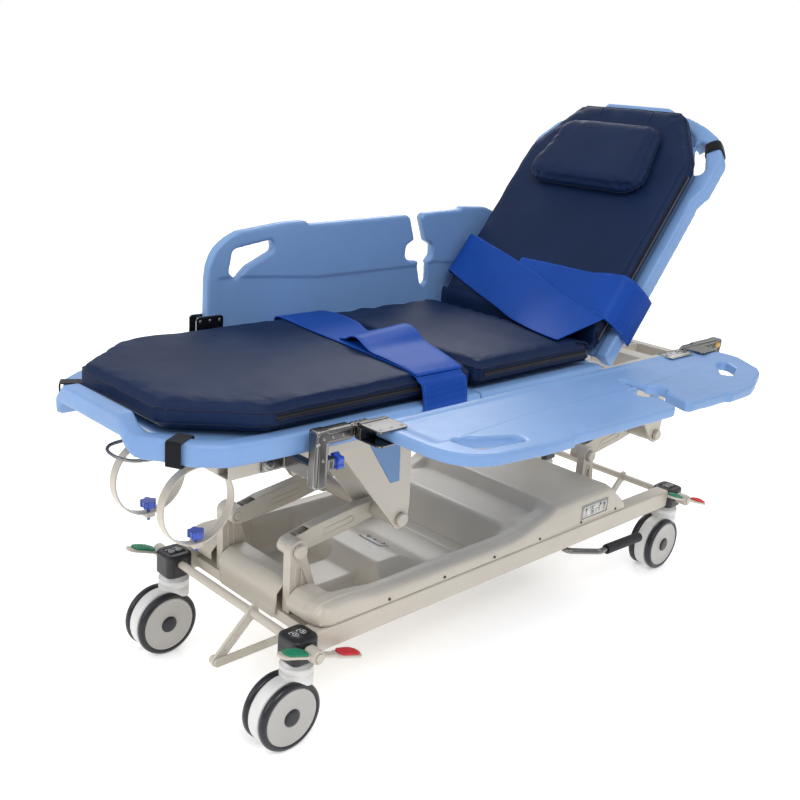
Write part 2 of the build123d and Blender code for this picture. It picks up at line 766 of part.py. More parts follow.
SEAT_END = HINGE_X - 12
BACK_PIN_R = 5
with BuildPart() as seat_deck:
    with BuildSketch(Plane.YZ.offset(SEAT_START)):
        with Locations((0, (DECK_BOTTOM + DECK_TOP) / 2)):
            RectangleRounded(2 * DECK_HALF, DECK_TOP - DECK_BOTTOM, 14)
            Rectangle(2 * (DECK_HALF - RIM_WIDTH), 60, mode=Mode.SUBTRACT)
        with Locations((0, (FLOOR_BOTTOM + FLOOR_TOP) / 2)):
            Rectangle(2 * (DECK_HALF - 20), FLOOR_TOP - FLOOR_BOTTOM)
    extrude(amount=SEAT_END - SEAT_START)
    # lugs of the back hinge hang below the floor on each side
    for side in SIDES:
        with BuildSketch(side_view(side * 262)):
            with BuildLine():
                Polyline(
                    (SEAT_END - 60, FLOOR_BOTTOM + 2),
                    (SEAT_END - 60, 764),
                    (SEAT_END - 8, 764),
                    (HINGE_X + 9, HINGE_Z - 7),
                    (HINGE_X, HINGE_Z + 11),
                    (SEAT_END - 2, FLOOR_TOP),
                    close=True,
                )
            make_face()
            with Locations((HINGE_X, HINGE_Z)):
                Circle(11)
                Circle(BACK_PIN_R + FIT, mode=Mode.SUBTRACT)
        extrude(amount=10, both=True)
save(seat_deck.part, "seat_deck")

back_plane = Plane(
    origin=(HINGE_X, 0, HINGE_Z),
    x_dir=(cos(radians(BACK_ANGLE)), 0, sin(radians(BACK_ANGLE))),
    z_dir=(-sin(radians(BACK_ANGLE)), 0, cos(radians(BACK_ANGLE))),
)
back_section = Plane(origin=back_plane.origin, x_dir=(0, 1, 0), z_dir=back_plane.x_dir)
back_side = Plane(origin=back_plane.origin, x_dir=back_plane.x_dir, z_dir=(0, -1, 0))
BACK_START = 24
BACK_HALF = 322
BACK_CORNERS = (
    (570, 320),
    (605, 336),
    (716, 336),
    (790, 289),
    (830, 232),
    (862, 160),
)
with BuildPart() as back_deck:
    with BuildSketch(back_plane.offset(DECK_BOTTOM - HINGE_Z)) as back_outer:
        with BuildLine():
            octagon(((BACK_START, BACK_HALF), *BACK_CORNERS))
        make_face()
        fillet(back_outer.vertices().group_by(Axis.X)[1:], 16)
    extrude(amount=HANDLE_TOP - DECK_BOTTOM)
    with BuildSketch(back_plane.offset(DECK_BOTTOM - HINGE_Z)):
        with BuildLine():
            octagon(((0, 285), (640, 285), (782, 215), (832, 150)))
        make_face()
    extrude(amount=HANDLE_TOP, mode=Mode.SUBTRACT)
    with BuildSketch(back_section):
        with BuildLine():
            arch(DECK_HALF + 30)
        make_face()
    extrude(amount=1000, mode=Mode.INTERSECT)
    with BuildSketch(back_plane.offset(FLOOR_BOTTOM - HINGE_Z)):
        with BuildLine():
            octagon(((BACK_START, 300), (640, 300), (774, 232), (806, 150)))
        make_face()
    extrude(amount=FLOOR_TOP - FLOOR_BOTTOM)
    # hand holds in the two ears
    with BuildSketch(back_plane.offset(DECK_BOTTOM - HINGE_Z)):
        for side in SIDES:
            with Locations(Location((706, side * 268), -side * 24)):
                SlotOverall(118, 34)
    extrude(amount=HANDLE_TOP, mode=Mode.SUBTRACT)
    # lower end cut back so that it swings clear of the seat
    with BuildSketch(back_side):
        with BuildLine():
            Polyline((0, -60), (20, -40), (26, 6), (42, 60), (0, 60), close=True)
        make_face()
    extrude(amount=400, both=True, mode=Mode.SUBTRACT)
save(back_deck.part, "back_deck")

with BuildPart() as back_hinges:
    # hinge straps under the back section, knuckle on the hinge axis
    for side in SIDES:
        with BuildSketch(back_side.offset(side * 236)):
            Circle(9)
            with Locations((70, -12)):
                Rectangle(140, 5)
            with Locations((6, -10)):
                Rectangle(22, 8)
        extrude(amount=9, both=True)
        with BuildSketch(back_side.offset(side * 250)):
            Circle(BACK_PIN_R)
        extrude(amount=25, both=True)
save(back_hinges.part, "back_hinges")

# ---- mattress ----------------------------------------------------------------------------------
WEDGE_LOW = 14
WEDGE_HIGH = 63
with BuildPart() as leg_cushion:
    with BuildSketch(Plane.XY.offset(CUSHION_BOTTOM)):
        with BuildLine():
            octagon(((LEG_END, CUSHION_HALF), (-950, CUSHION_HALF), (-1120, 166)))
        make_face()
    extrude(amount=CUSHION_TOP - CUSHION_BOTTOM)
save(leg_cushion.part, "leg_cushion")

with BuildPart() as seat_cushion:
    with BuildSketch(side_view()):
        with BuildLine():
            Polyline(
                (SEAT_START, CUSHION_BOTTOM),
                (HINGE_X - WEDGE_LOW, CUSHION_BOTTOM),
                (HINGE_X - WEDGE_HIGH, CUSHION_TOP),
                (SEAT_START, CUSHION_TOP),
                close=True,
            )
        make_face()
    extrude(amount=CUSHION_HALF, both=True)
save(seat_cushion.part, "seat_cushion")

with BuildPart() as back_cushion:
    with BuildSketch(back_plane.offset(CUSHION_BOTTOM - HINGE_Z)):
        with BuildLine():
            octagon(((0, 296), (655, 296), (826, 186)))
        make_face()
    extrude(amount=CUSHION_TOP - CUSHION_BOTTOM)
    with BuildSketch(back_side):
        with BuildLine():
            Polyline((-5, 0), (9, 0), (68, 90), (-5, 90), close=True)
        make_face()
    extrude(amount=CUSHION_HALF + 10, both=True, mode=Mode.SUBTRACT)
save(back_cushion.part, "back_cushion")

with BuildPart() as pillow:
    with BuildSketch(back_plane.offset(CUSHION_TOP - HINGE_Z + 1)):
        with Locations((616, 0)):
            RectangleRounded(252, 420, 56)
    extrude(amount=52)
    fillet(pillow.faces().sort_by(Axis(back_plane.origin, back_plane.z_dir))[-1].edges(), 14)
save(pillow.part, "pillow")

# ---- restraint straps -----------------------------------------------------------------------------
STRAP_WIDTH = 130
LEG_STRAP_WIDTH = 150
STRAP_THICK = 3
with BuildPart() as leg_strap:
    with BuildSketch(Plane.YZ.offset(-500)):
        with BuildLine():
            Polyline(
                (-DECK_HALF - 4, DECK_BOTTOM + 8),
                (-DECK_HALF - 4, CUSHION_BOTTOM + 2),
                (-CUSHION_HALF - 5, CUSHION_TOP + 3),
                (CUSHION_HALF + 5, CUSHION_TOP + 3),
                (CUSHION_HALF + 5, CUSHION_BOTTOM + 2),
            )
        trace(line_width=STRAP_THICK)
    extrude(amount=LEG_STRAP_WIDTH)
save(leg_strap.part, "leg_strap")

with BuildPart() as back_strap:
    with BuildSketch(back_section.offset(95)):
        with BuildLine():
            Polyline(
                (-CUSHION_HALF - 2, CUSHION_BOTTOM + 2 - HINGE_Z),
                (-CUSHION_HALF - 2, CUSHION_TOP + 3 - HINGE_Z),
                (CUSHION_HALF + 2, CUSHION_TOP + 3 - HINGE_Z),
                (CUSHION_HALF + 2, CUSHION_BOTTOM + 2 - HINGE_Z),
            )
        trace(line_width=STRAP_THICK)
    extrude(amount=STRAP_WIDTH)
save(back_strap.part, "back_strap")

# ---- side rails -------------------------------------------------------------------------------------
def rail_axes(side, folded):
    """Plane on the hinge axis of one rail: local x along the trolley, local y up the panel."""
    height_dir = (0, side, 0) if folded else (0, 0, 1)
    origin = Vector(RAIL_SHIFT[side], side * AXIS_Y, AXIS_Z)
    return Plane(origin=origin, x_dir=(1, 0, 0), z_dir=Vector(1, 0, 0).cross(Vector(*height_dir)))


def side_rail(side, folded, name):
    panel_plane = rail_axes(side, folded)
    with BuildPart() as panel:
        with BuildSketch(panel_plane) as outline:
            with BuildLine():
                Polyline(
                    (-PANEL_FOOT, PANEL_LOW),
                    (-PANEL_FOOT, 290),
                    (-414, 319),
                    (-335, 322),
                    (-322, 311),
                    (62, 323),
                    (76, 312),
                    (100, 246),
                    (68, 230),
                    (66, 196),
                    (84, 182),
                    (122, 180),
                    (142, 112),
                    (156, 98),
                    (170, 112),
                    (168, 176),
                    (186, 194),
                    (182, 226),
                    (152, 240),
                    (122, 314),
                    (134, 326),
                    (296, 332),
                    (308, 341),
                    (420, 336),
                    (600, 276),
                    (PANEL_HEAD, 150),
                    (PANEL_HEAD, PANEL_LOW),
                    close=True,
                )
            make_face()
            # carrying handle openings at both ends
            for opening in (FOOT_OPENING, HEAD_OPENING):
                with BuildLine():
                    Polyline(*opening, close=True)
                make_face(mode=Mode.SUBTRACT)
            openings = outline.vertices().filter_by(lambda v: 430 < abs(v.X) < 596)
            fillet(openings, 11)
            ends = outline.vertices().filter_by(lambda v: v.Y > 100)
            fillet(ends.filter_by(lambda v: v.X < -650), 50)
            fillet(ends.filter_by(lambda v: v.X > 598), 80)
            # corners cleared for the metal clamps
            for end in SIDES:
                with Locations((end * CLAMP_X, PANEL_LOW)):
                    Rectangle(90, 24, mode=Mode.SUBTRACT)
        extrude(amount=RAIL_THICK / 2, both=True)
    save(panel.part, name + "_panel")

    with BuildPart() as clamps:
        for end in SIDES:
            knuckle = Plane(
                origin=(RAIL_SHIFT[side] + end * 672, side * AXIS_Y, AXIS_Z),
                x_dir=(0, 1, 0),
                z_dir=(1, 0, 0),
            )
            with BuildSketch(knuckle):
                Circle(KNUCKLE_R)
            extrude(amount=27, both=True)
            with BuildSketch(panel_plane):
                with Locations((end * 655, 24)):
                    Rectangle(86, 16)
            extrude(amount=KNUCKLE_R - 2, both=True)
            for face in SIDES:
                skin = panel_plane.offset(face * (RAIL_THICK / 2 + 2))
                with BuildSketch(skin):
                    with Locations((end * 650, 50)):
                        RectangleRounded(84, 72, 10)
                extrude(amount=1.9, both=True)
                with BuildSketch(skin):
                    with Locations((end * 650, 18)):
                        Rectangle(80, 12)
                extrude(amount=3, both=True)
            with BuildSketch(knuckle):
                Circle(HINGE_PIN_R + FIT)
            extrude(amount=40, both=True, mode=Mode.SUBTRACT)
    save(clamps.part, name + "_clamps")


side_rail(-1, True, "right_rail")
side_rail(1, False, "left_rail")

KNOB_Z = 748
FOOT_POST_X = -848
HEAD_POST_X = 764
ARM_START = 702
with BuildPart() as rail_hinge_posts:
    for side in SIDES:
        for post_x in (FOOT_POST_X, HEAD_POST_X):
            end = 1 if post_x > 0 else -1
            # arm on the hinge axis with the pin that carries the rail's knuckle
            arm_start = RAIL_SHIFT[side] + end * ARM_START
            arm = Plane(origin=(arm_start, side * AXIS_Y, AXIS_Z), x_dir=(0, 1, 0), z_dir=(end, 0, 0))
            with BuildSketch(arm):
                RectangleRounded(32, 32, 7)
            extrude(amount=abs(post_x - arm_start) + 16)
            with BuildSketch(arm):
                Circle(HINGE_PIN_R)
            extrude(amount=-54)
            # upright post
            with BuildSketch(Plane.XY.offset(700)):
                with Locations((post_x, side * AXIS_Y)):
                    RectangleRounded(34, 32, 7)
            extrude(amount=AXIS_Z + 16 - 700)
            # bracket running in to the subframe, with its bolted plate
            with BuildSketch(Plane.XY.offset(SUBFRAME_BOTTOM + 2)):
                with Locations((post_x, side * (SUBFRAME_OUTER + AXIS_Y) / 2)):
                    Rectangle(26, AXIS_Y - SUBFRAME_OUTER)
                with Locations((post_x - 24, side * (SUBFRAME_OUTER + 4))):
                    Rectangle(96, 8)
            extrude(amount=SUBFRAME_TOP - SUBFRAME_BOTTOM - 4)
        # tapped lug for the locking knob
        with BuildSketch(Plane.XY.offset(KNOB_Z - 14)):
            with Locations((FOOT_POST_X + 26, side * AXIS_Y)):
                Rectangle(22, 26)
        extrude(amount=28)
    with BuildSketch(Plane.YZ.offset(FOOT_POST_X)):
        for side in SIDES:
            with Locations((side * AXIS_Y, KNOB_Z)):
                Circle(4 + FIT)
    extrude(amount=60, mode=Mode.SUBTRACT)
    # bolt heads on the plates
    for side in SIDES:
        facing = Plane(
            origin=(0, side * (SUBFRAME_OUTER + 8), 0), x_dir=(1, 0, 0), z_dir=(0, side, 0)
        )
        with BuildSketch(facing):
            for post_x in (FOOT_POST_X, HEAD_POST_X):
                with Locations((post_x - 54, -side * SUBFRAME_MIDDLE)):
                    Circle(9)
        extrude(amount=6)
save(rail_hinge_posts.part, "rail_hinge_posts")


def star_knob(plane, name, reach):
    """Five-lobed hand knob on a threaded shank that points along the plane's normal."""
    with BuildPart() as knob:
        with BuildSketch(plane):
            Circle(15)
            with PolarLocations(13, 5):
                Circle(6.5)
        extrude(amount=-16)
        with BuildSketch(plane):
            Circle(9)
        extrude(amount=5)
        with BuildSketch(plane):
            Circle(4)
        extrude(amount=reach)
    save(knob.part, name)


for side, hand in ((-1, "right"), (1, "left")):
    star_knob(
        Plane(origin=(-805, side * AXIS_Y, KNOB_Z), x_dir=(0, 1, 0), z_dir=(-1, 0, 0)),
        f"{hand}_rail_knob",
        28,
    )

# ---- foot end fittings ------------------------------------------------------------------------------
with BuildPart() as oxygen_rings:
    for side in SIDES:
        with BuildSketch(side_view(side * RING_Y)):
            with Locations((RING_X, RING_Z)):
                Circle(RING_R)
                Circle(RING_R - 3.5, mode=Mode.SUBTRACT)
            # boss that takes the thumb screw
            with Locations((RING_X, RING_Z - RING_R - 2)):
                Rectangle(22, 12)
            # stem up to the subframe's end tube
            with Locations((RING_X, RING_Z + RING_R + 10)):
                Rectangle(30, 20)
        extrude(amount=RING_BAND / 2, both=True)
        with BuildSketch(Plane.XY.offset(RING_Z - RING_R - 20)):
            with Locations((RING_X, side * RING_Y)):
                Circle(4 + FIT)
        extrude(amount=40, mode=Mode.SUBTRACT)
save(oxygen_rings.part, "oxygen_rings")

for side, hand in ((-1, "right"), (1, "left")):
    star_knob(
        Plane(
            origin=(RING_X, side * RING_Y, RING_Z - RING_R + 16), x_dir=(1, 0, 0), z_dir=(0, 0, -1)
        ),
        f"{hand}_ring_screw",
        34,
    )

with BuildPart() as wire_hook:
    with BuildLine() as hook_path:
        FilletPolyline(
            (-1002, -62, 724),
            (-1095, -62, 724),
            (-1095, 62, 724),
            (-1002, 62, 724),
            radius=24,
        )
    with BuildSketch(Plane(origin=hook_path.line @ 0, z_dir=hook_path.line % 0)):
        Circle(4)
    sweep(path=hook_path.line)
save(wire_hook.part, "wire_hook")

with BuildPart() as corner_straps:
    # hook-and-loop straps round the rim at the foot corners
    for side in SIDES:
        strap = Plane(
            origin=(STRAP_X, side * STRAP_Y, (DECK_BOTTOM + DECK_TOP) / 2),
            x_dir=(-0.87, side * 0.5, 0),
            z_dir=(0.5, side * 0.87, 0),
        )
        with BuildSketch(strap):
            RectangleRounded(60, 56, 6)
            RectangleRounded(55, 51, 4, mode=Mode.SUBTRACT)
        extrude(amount=17, both=True)
save(corner_straps.part, "corner_straps")
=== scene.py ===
import json
import math

import bmesh
import bpy
import numpy as np
from mathutils import Matrix, Vector, noise
from mathutils.bvhtree import BVHTree


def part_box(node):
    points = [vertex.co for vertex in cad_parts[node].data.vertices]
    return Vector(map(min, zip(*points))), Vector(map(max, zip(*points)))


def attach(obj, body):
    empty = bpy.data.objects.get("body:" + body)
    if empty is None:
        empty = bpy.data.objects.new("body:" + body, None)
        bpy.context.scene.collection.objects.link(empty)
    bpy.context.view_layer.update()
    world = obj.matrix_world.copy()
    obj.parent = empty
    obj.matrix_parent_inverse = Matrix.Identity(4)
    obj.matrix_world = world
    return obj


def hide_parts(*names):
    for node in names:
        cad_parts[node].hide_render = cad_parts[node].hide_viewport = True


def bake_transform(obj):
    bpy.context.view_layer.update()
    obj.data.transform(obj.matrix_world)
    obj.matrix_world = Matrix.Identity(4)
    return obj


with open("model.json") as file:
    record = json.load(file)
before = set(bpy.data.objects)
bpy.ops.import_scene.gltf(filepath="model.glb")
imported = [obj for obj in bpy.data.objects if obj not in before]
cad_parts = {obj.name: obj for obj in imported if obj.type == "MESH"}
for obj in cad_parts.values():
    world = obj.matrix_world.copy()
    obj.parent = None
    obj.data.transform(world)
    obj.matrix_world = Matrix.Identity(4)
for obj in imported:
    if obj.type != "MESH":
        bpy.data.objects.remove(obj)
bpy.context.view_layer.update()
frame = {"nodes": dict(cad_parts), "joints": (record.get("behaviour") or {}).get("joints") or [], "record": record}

NODES = frame["nodes"]
JOINTS = {j["name"]: j for j in frame["joints"]}
BODY_OF = {n: b for b, names in frame["record"]["behaviour"]["bodies"].items() for n in names}
SLOT_OF = {p["node"]: p["material_slot"] for p in frame["record"]["subparts"]}
MM = 0.001
SIDES = (-1, 1)

# The drawing this trolley was built from counts in its own millimetres: x and y from the middle of
# the casters, z up. The two lift pins give its size in the frame and the height of the floor.
PIN_FOOT, PIN_HEAD, PIN_Z = -717, 469, 432.5
foot_pin = Vector(JOINTS["lift"]["pos_m"])
UNIT = (JOINTS["lift_head"]["pos_m"][0] - foot_pin.x) / (PIN_HEAD - PIN_FOOT)
DROP = PIN_Z - foot_pin.z / UNIT

# Driving dimensions in drawing millimetres.
STEM_X, STEM_Y = 800, 262  # caster swivel axes
AXLE_Z, TRAIL, TWIN = 100, 39, 28  # wheel axle height, its offset behind the stem, half wheel gap
COVER_X = (-752, 513)  # ends of the base cover
COVER_EDGE = 285  # half width of the base cover
SKIRT_LOW = 293.0  # lower edge of the cover's side skirts
POST_SLOT = (120, 158)  # openings of the cover beside the lift posts
RAIL_Y, RAIL_Z = 352, 812  # hinge axis of the side rails
RAIL_FOOT = 657  # foot end of a rail panel from its middle
RAIL_SHIFT = {-1: -65, 1: 0}  # the right rail sits further towards the foot end
RAIL_END = 650  # middle of the clamps at either end of a rail
SKIN = 886  # top of the seat and leg cushions, where straps lie
PIPING_R = 1.7  # sewn edge lines
SEAM_DROP = 9  # edge lines below and above a cushion's faces
ZIP_HALF = 7  # half width of the zip tapes


def at(x, y, z):
    """Drawing point in the frame."""
    return Vector((x, y, z - DROP)) * UNIT


def drawn(co):
    """Frame points as drawing points."""
    return co / UNIT + np.array((0, 0, DROP))


def framed(co):
    """Drawing points as frame points."""
    return (co - np.array((0, 0, DROP))) * UNIT


def rise(value, start, end):
    """Smooth step from 0 to 1 between start and end."""
    t = np.clip((value - start) / (end - start), 0, 1)
    return t * t * (3 - 2 * t)


def srgb(r, g, b):
    """Display colour, 0 to 255, as the linear colour that shaders take."""
    return tuple(
        c / 12.92 if c <= 0.04045 else ((c + 0.055) / 1.055) ** 2.4 for c in (r / 255, g / 255, b / 255)
    ) + (1,)


# ---- materials ----
def graph(name):
    """New node material with its node maker, linker and shader."""
    material = bpy.data.materials.new(name)
    material.use_nodes = True
    tree = material.node_tree
    shader = tree.nodes["Principled BSDF"]

    def node(kind, **settings):
        made = tree.nodes.new("ShaderNode" + kind)
        for key, value in settings.items():
            if hasattr(made, key):
                setattr(made, key, value)
            else:
                made.inputs[key.replace("_", " ")].default_value = value
        return made

    return material, node, tree.links.new, shader


def mottled(node, link, place, colour, spread, scale, stretch=(1, 1, 1)):
    """Colour socket that drifts by spread either side of colour."""
    mapping = node("Mapping")
    mapping.inputs["Scale"].default_value = stretch
    link(place, mapping.inputs["Vector"])
    clouds = node("TexNoise", Scale=scale, Detail=5.0, Roughness=0.6)
    link(mapping.outputs[0], clouds.inputs["Vector"])
    ramp = node("ValToRGB")
    low, high = ramp.color_ramp.elements
    low.position, high.position = 0.3, 0.7
    low.color = tuple(c * (1 - spread) for c in colour[:3]) + (1,)
    high.color = tuple(min(1, c * (1 + spread)) for c in colour[:3]) + (1,)
    link(clouds.outputs["Fac"], ramp.inputs["Fac"])
    return ramp.outputs["Color"]


def hard(name, colour, rough, metal=0.0, spread=0.04, grain=900, bump=0.05, edge=2.0, coat=0.0,
         edge_highlight=None):
    """Painted, moulded or plated surface: drifting tone, fine grain, softened edges, painted edge highlights."""
    material, node, link, shader = graph(name)
    place = node("TexCoord").outputs["Object"]
    tone = mottled(node, link, place, colour, spread, 6)
    if metal == 1.0:
        # painted reflection: bands of a dark room multiplied into the base colour
        room = node("Mapping")
        room.inputs["Scale"].default_value = (0.8, 0.8, 2.6)
        link(node("TexCoord").outputs["Reflection"], room.inputs["Vector"])
        bands = node("TexNoise", Scale=2.6, Detail=2.0)
        link(room.outputs[0], bands.inputs["Vector"])
        level = node("MapRange", From_Min=0.4, From_Max=0.58, To_Min=0.16, To_Max=1.0)
        link(bands.outputs["Fac"], level.inputs["Value"])
        dim = node("MixRGB", blend_type="MULTIPLY")
        dim.inputs["Fac"].default_value = 1.0
        link(tone, dim.inputs["Color1"])
        link(level.outputs["Result"], dim.inputs["Color2"])
        tone = dim.outputs["Color"]
    shader.inputs["Metallic"].default_value = metal
    shader.inputs["Coat Weight"].default_value = coat
    shader.inputs["Coat Roughness"].default_value = 0.15
    # roughness wanders a little with handling marks
    smears = node("TexNoise", Scale=38.0, Detail=6.0)
    link(place, smears.inputs["Vector"])
    level = node("MapRange", To_Min=rough * 0.8, To_Max=min(1, rough * 1.25))
    link(smears.outputs["Fac"], level.inputs["Value"])
    link(level.outputs["Result"], shader.inputs["Roughness"])
    soft = node("Bevel", samples=4, Radius=edge * MM)
    if edge_highlight:
        # painted highlight: brighter edges found from the difference between rounded and true normals
        geometry = node("NewGeometry")
        dot = node("VectorMath", operation="DOT_PRODUCT")
        link(soft.outputs[0], dot.inputs[0])
        link(geometry.outputs["Normal"], dot.inputs[1])
        edge_mask = node("MapRange", From_Min=0.985, From_Max=0.9, To_Min=0.0, To_Max=0.55)
        link(dot.outputs["Value"], edge_mask.inputs["Value"])
        mix = node("MixRGB")
        mix.inputs["Color2"].default_value = edge_highlight
        link(edge_mask.outputs["Result"], mix.inputs["Fac"])
        link(tone, mix.inputs["Color1"])
        tone = mix.outputs["Color"]
    link(tone, shader.inputs["Base Color"])
    fine = node("TexNoise", Scale=float(grain), Detail=2.0)
    link(place, fine.inputs["Vector"])
    relief = node("Bump", Strength=bump, Distance=0.3 * MM)
    link(fine.outputs["Fac"], relief.inputs["Height"])
    link(soft.outputs[0], relief.inputs["Normal"])
    link(relief.outputs[0], shader.inputs["Normal"])
    return material


def fabric(name, colour, pitch, rough, sheen, weave=0.25, crease=0.25, spread=0.12):
    """Woven cloth: crossed threads of the given pitch in millimetres, soft creases, tone drift."""
    material, node, link, shader = graph(name)
    place = node("TexCoord").outputs["Object"]
    tone = mottled(node, link, place, colour, spread, 5)
    threads = []
    for axis in ("X", "Y"):
        wave = node("TexWave", bands_direction=axis, Scale=1000.0 / pitch / 20 * 3.1416)
        link(place, wave.inputs["Vector"])
        threads.append(wave.outputs["Fac"])
    cross = node("Math", operation="MULTIPLY")
    link(threads[0], cross.inputs[0])
    link(threads[1], cross.inputs[1])
    dark = node("MixRGB", blend_type="MULTIPLY")
    dark.inputs["Fac"].default_value = 0.18
    link(tone, dark.inputs["Color1"])
    link(cross.outputs[0], dark.inputs["Color2"])
    link(dark.outputs[0], shader.inputs["Base Color"])
    shader.inputs["Roughness"].default_value = rough
    shader.inputs["Specular IOR Level"].default_value = 0.14
    shader.inputs["Sheen Weight"].default_value = sheen
    shader.inputs["Sheen Roughness"].default_value = 0.4
    folds = node("TexNoise", Scale=9.0, Detail=4.0, Distortion=0.6)
    link(place, folds.inputs["Vector"])
    slow = node("Bump", Strength=crease, Distance=6 * MM)
    link(folds.outputs["Fac"], slow.inputs["Height"])
    fast = node("Bump", Strength=weave, Distance=0.25 * MM)
    link(cross.outputs[0], fast.inputs["Height"])
    link(slow.outputs[0], fast.inputs["Normal"])
    link(fast.outputs[0], shader.inputs["Normal"])
    return material


# painted highlight colour laid along the edges of cream paint and cover mouldings
EDGE_HIGHLIGHT = srgb(232, 228, 220)
MATERIALS = {
    "cream_paint": hard("cream_paint", srgb(190, 182, 168), 0.36, coat=0.25, edge_highlight=EDGE_HIGHLIGHT, grain=500),
    "cover_plastic": hard("cover_plastic", srgb(190, 182, 168), 0.4, bump=0.08, grain=1400,
                          coat=0.15, edge_highlight=EDGE_HIGHLIGHT, edge=3),
    "fork_paint": hard("fork_paint", srgb(212, 211, 209), 0.36, edge=3, coat=0.2),
    "wheel_disc": hard("wheel_disc", srgb(172, 169, 164), 0.34, edge=2, coat=0.2),
    "tyre_rubber": hard("tyre_rubber", srgb(20, 20, 28), 0.3, spread=0.2, grain=700, bump=0.12),
    "housing_plastic": hard("housing_plastic", srgb(24, 24, 28), 0.34, spread=0.15, grain=1600,
                            bump=0.2),
    # the deck's edges carry a painted highlight in a paler blue
    "deck_plastic": hard("deck_plastic", srgb(110, 146, 194), 0.42, spread=0.05, grain=1100,
                         bump=0.1, coat=0.08, edge=3, edge_highlight=srgb(160, 188, 224)),
    "insert_plastic": hard("insert_plastic", srgb(84, 126, 172), 0.35, coat=0.2),
    "green_pad": hard("green_pad", srgb(10, 122, 86), 0.5, spread=0.15, bump=0.25),
    "red_pad": hard("red_pad", srgb(196, 36, 48), 0.5, spread=0.12, bump=0.25),
    "knob_plastic": hard("knob_plastic", srgb(40, 74, 176), 0.32, spread=0.1, coat=0.3),
    "chrome": hard("chrome", srgb(164, 162, 160), 0.24, metal=1.0, spread=0.08, bump=0.04),
    "zinc": hard("zinc", srgb(160, 160, 162), 0.34, metal=1.0, spread=0.15, bump=0.2),
    "black_grip": hard("black_grip", srgb(26, 26, 30), 0.55, spread=0.2, bump=0.3),
    "screw_dark": hard("screw_dark", srgb(52, 50, 50), 0.4, metal=0.6, spread=0.2),
    "label": hard("label", srgb(214, 212, 206), 0.35, spread=0.03),
    "hydraulic": hard("hydraulic", srgb(78, 80, 84), 0.4, spread=0.15, coat=0.2),
    "navy_fabric": fabric("navy_fabric", srgb(16, 35, 69), 0.9, 0.55, 0.0, crease=0.3),
    "royal_webbing": fabric("royal_webbing", srgb(16, 68, 156), 1.4, 0.5, 0.0, weave=0.5),
    "black_webbing": fabric("black_webbing", srgb(18, 19, 26), 1.4, 0.7, 0.2, weave=0.7),
}
SEAM = fabric("seam_thread", srgb(20, 30, 58), 0.8, 0.55, 0.1, weave=0.6)
STITCH = fabric("strap_thread", srgb(74, 116, 204), 0.8, 0.5, 0.1, weave=0.6)
ZIP = hard("zip_tape", srgb(44, 45, 50), 0.35, metal=0.5, spread=0.25, bump=0.4)
INK = hard("print_ink", srgb(52, 54, 58), 0.5)
PRINT_WHITE = hard("print_white", srgb(226, 226, 224), 0.45)
AMBER = hard("amber_latch", srgb(196, 148, 40), 0.35, spread=0.12, coat=0.3)


def give(piece, material):
    piece.data.materials.clear()
    piece.data.materials.append(material)


for name, cad in NODES.items():
    give(cad, MATERIALS[SLOT_OF[name]])


# frame of the raised backrest: x up the back, z off its face
HINGE = Vector(JOINTS["backrest"]["pos_m"])
BACK_ANGLE = math.radians(-JOINTS["backrest"]["range_deg"][0])
TO_BACK = Matrix.Translation(HINGE) @ Matrix.Rotation(-BACK_ANGLE, 4, "Y")
FLAT_BACK = TO_BACK.inverted()


# ---- making pieces ----
def add(name, mesh, slot_name, body, replaced=(), material=None, smooth=True):
    """Links a finished mesh as a piece that rides on a body."""
    piece = bpy.data.objects.new(name, mesh)
    bpy.context.scene.collection.objects.link(piece)
    give(piece, material or MATERIALS[slot_name])
    if smooth:
        mesh.polygons.foreach_set("use_smooth", [True] * len(mesh.polygons))
    if body:
        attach(piece, body)
    if replaced:
        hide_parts(*replaced)
    return piece


def evaluated(source, modifiers):
    """Mesh of source with a stack of (type, settings) modifiers applied."""
    work = bpy.data.objects.new("work", source)
    bpy.context.scene.collection.objects.link(work)
    for kind, settings in modifiers:
        modifier = work.modifiers.new(kind, kind)
        for key, value in settings.items():
            setattr(modifier, key, value)
    bpy.context.view_layer.update()
    mesh = bpy.data.meshes.new_from_object(work.evaluated_get(bpy.context.evaluated_depsgraph_get()))
    bpy.data.objects.remove(work)
    return mesh


def points_of(mesh):
    """Vertices of a mesh as an array."""
    co = np.empty(len(mesh.vertices) * 3)
    mesh.vertices.foreach_get("co", co)
    return co.reshape(-1, 3)


def set_points(mesh, co):
    mesh.vertices.foreach_set("co", co.ravel())
    mesh.update()


def moulded(node, voxel=4, rounds=8, shape=None):
    """Rounded moulding in place of a CAD node: remeshed, smoothed, then shaped by a function."""
    mesh = evaluated(
        NODES[node].data.copy(),
        [
            ("REMESH", {"mode": "VOXEL", "voxel_size": voxel * MM}),
            ("SMOOTH", {"factor": 0.5, "iterations": rounds}),
        ],
    )
    if shape:
        set_points(mesh, shape(points_of(mesh)))
    return add(node + "_moulding", mesh, SLOT_OF[node], BODY_OF[node], [node])


def mesh_of(points, faces):
    """Mesh from points and faces."""
    mesh = bpy.data.meshes.new("shape")
    mesh.from_pydata([tuple(p) for p in points], [], faces)
    mesh.update()
    return mesh


def quads(rows, cols, round_rows=False, round_cols=False):
    """Faces over a grid of points, row by row, that may close on itself either way."""
    faces = []
    for i in range(rows if round_rows else rows - 1):
        for k in range(cols if round_cols else cols - 1):
            a, b = i * cols, (i + 1) % rows * cols
            n = (k + 1) % cols
            faces.append((a + k, a + n, b + n, b + k))
    return faces


def joined(meshes):
    """Several meshes as one."""
    bm = bmesh.new()
    for mesh in meshes:
        bm.from_mesh(mesh)
    whole = bpy.data.meshes.new("shape")
    bm.to_mesh(whole)
    bm.free()
    return whole


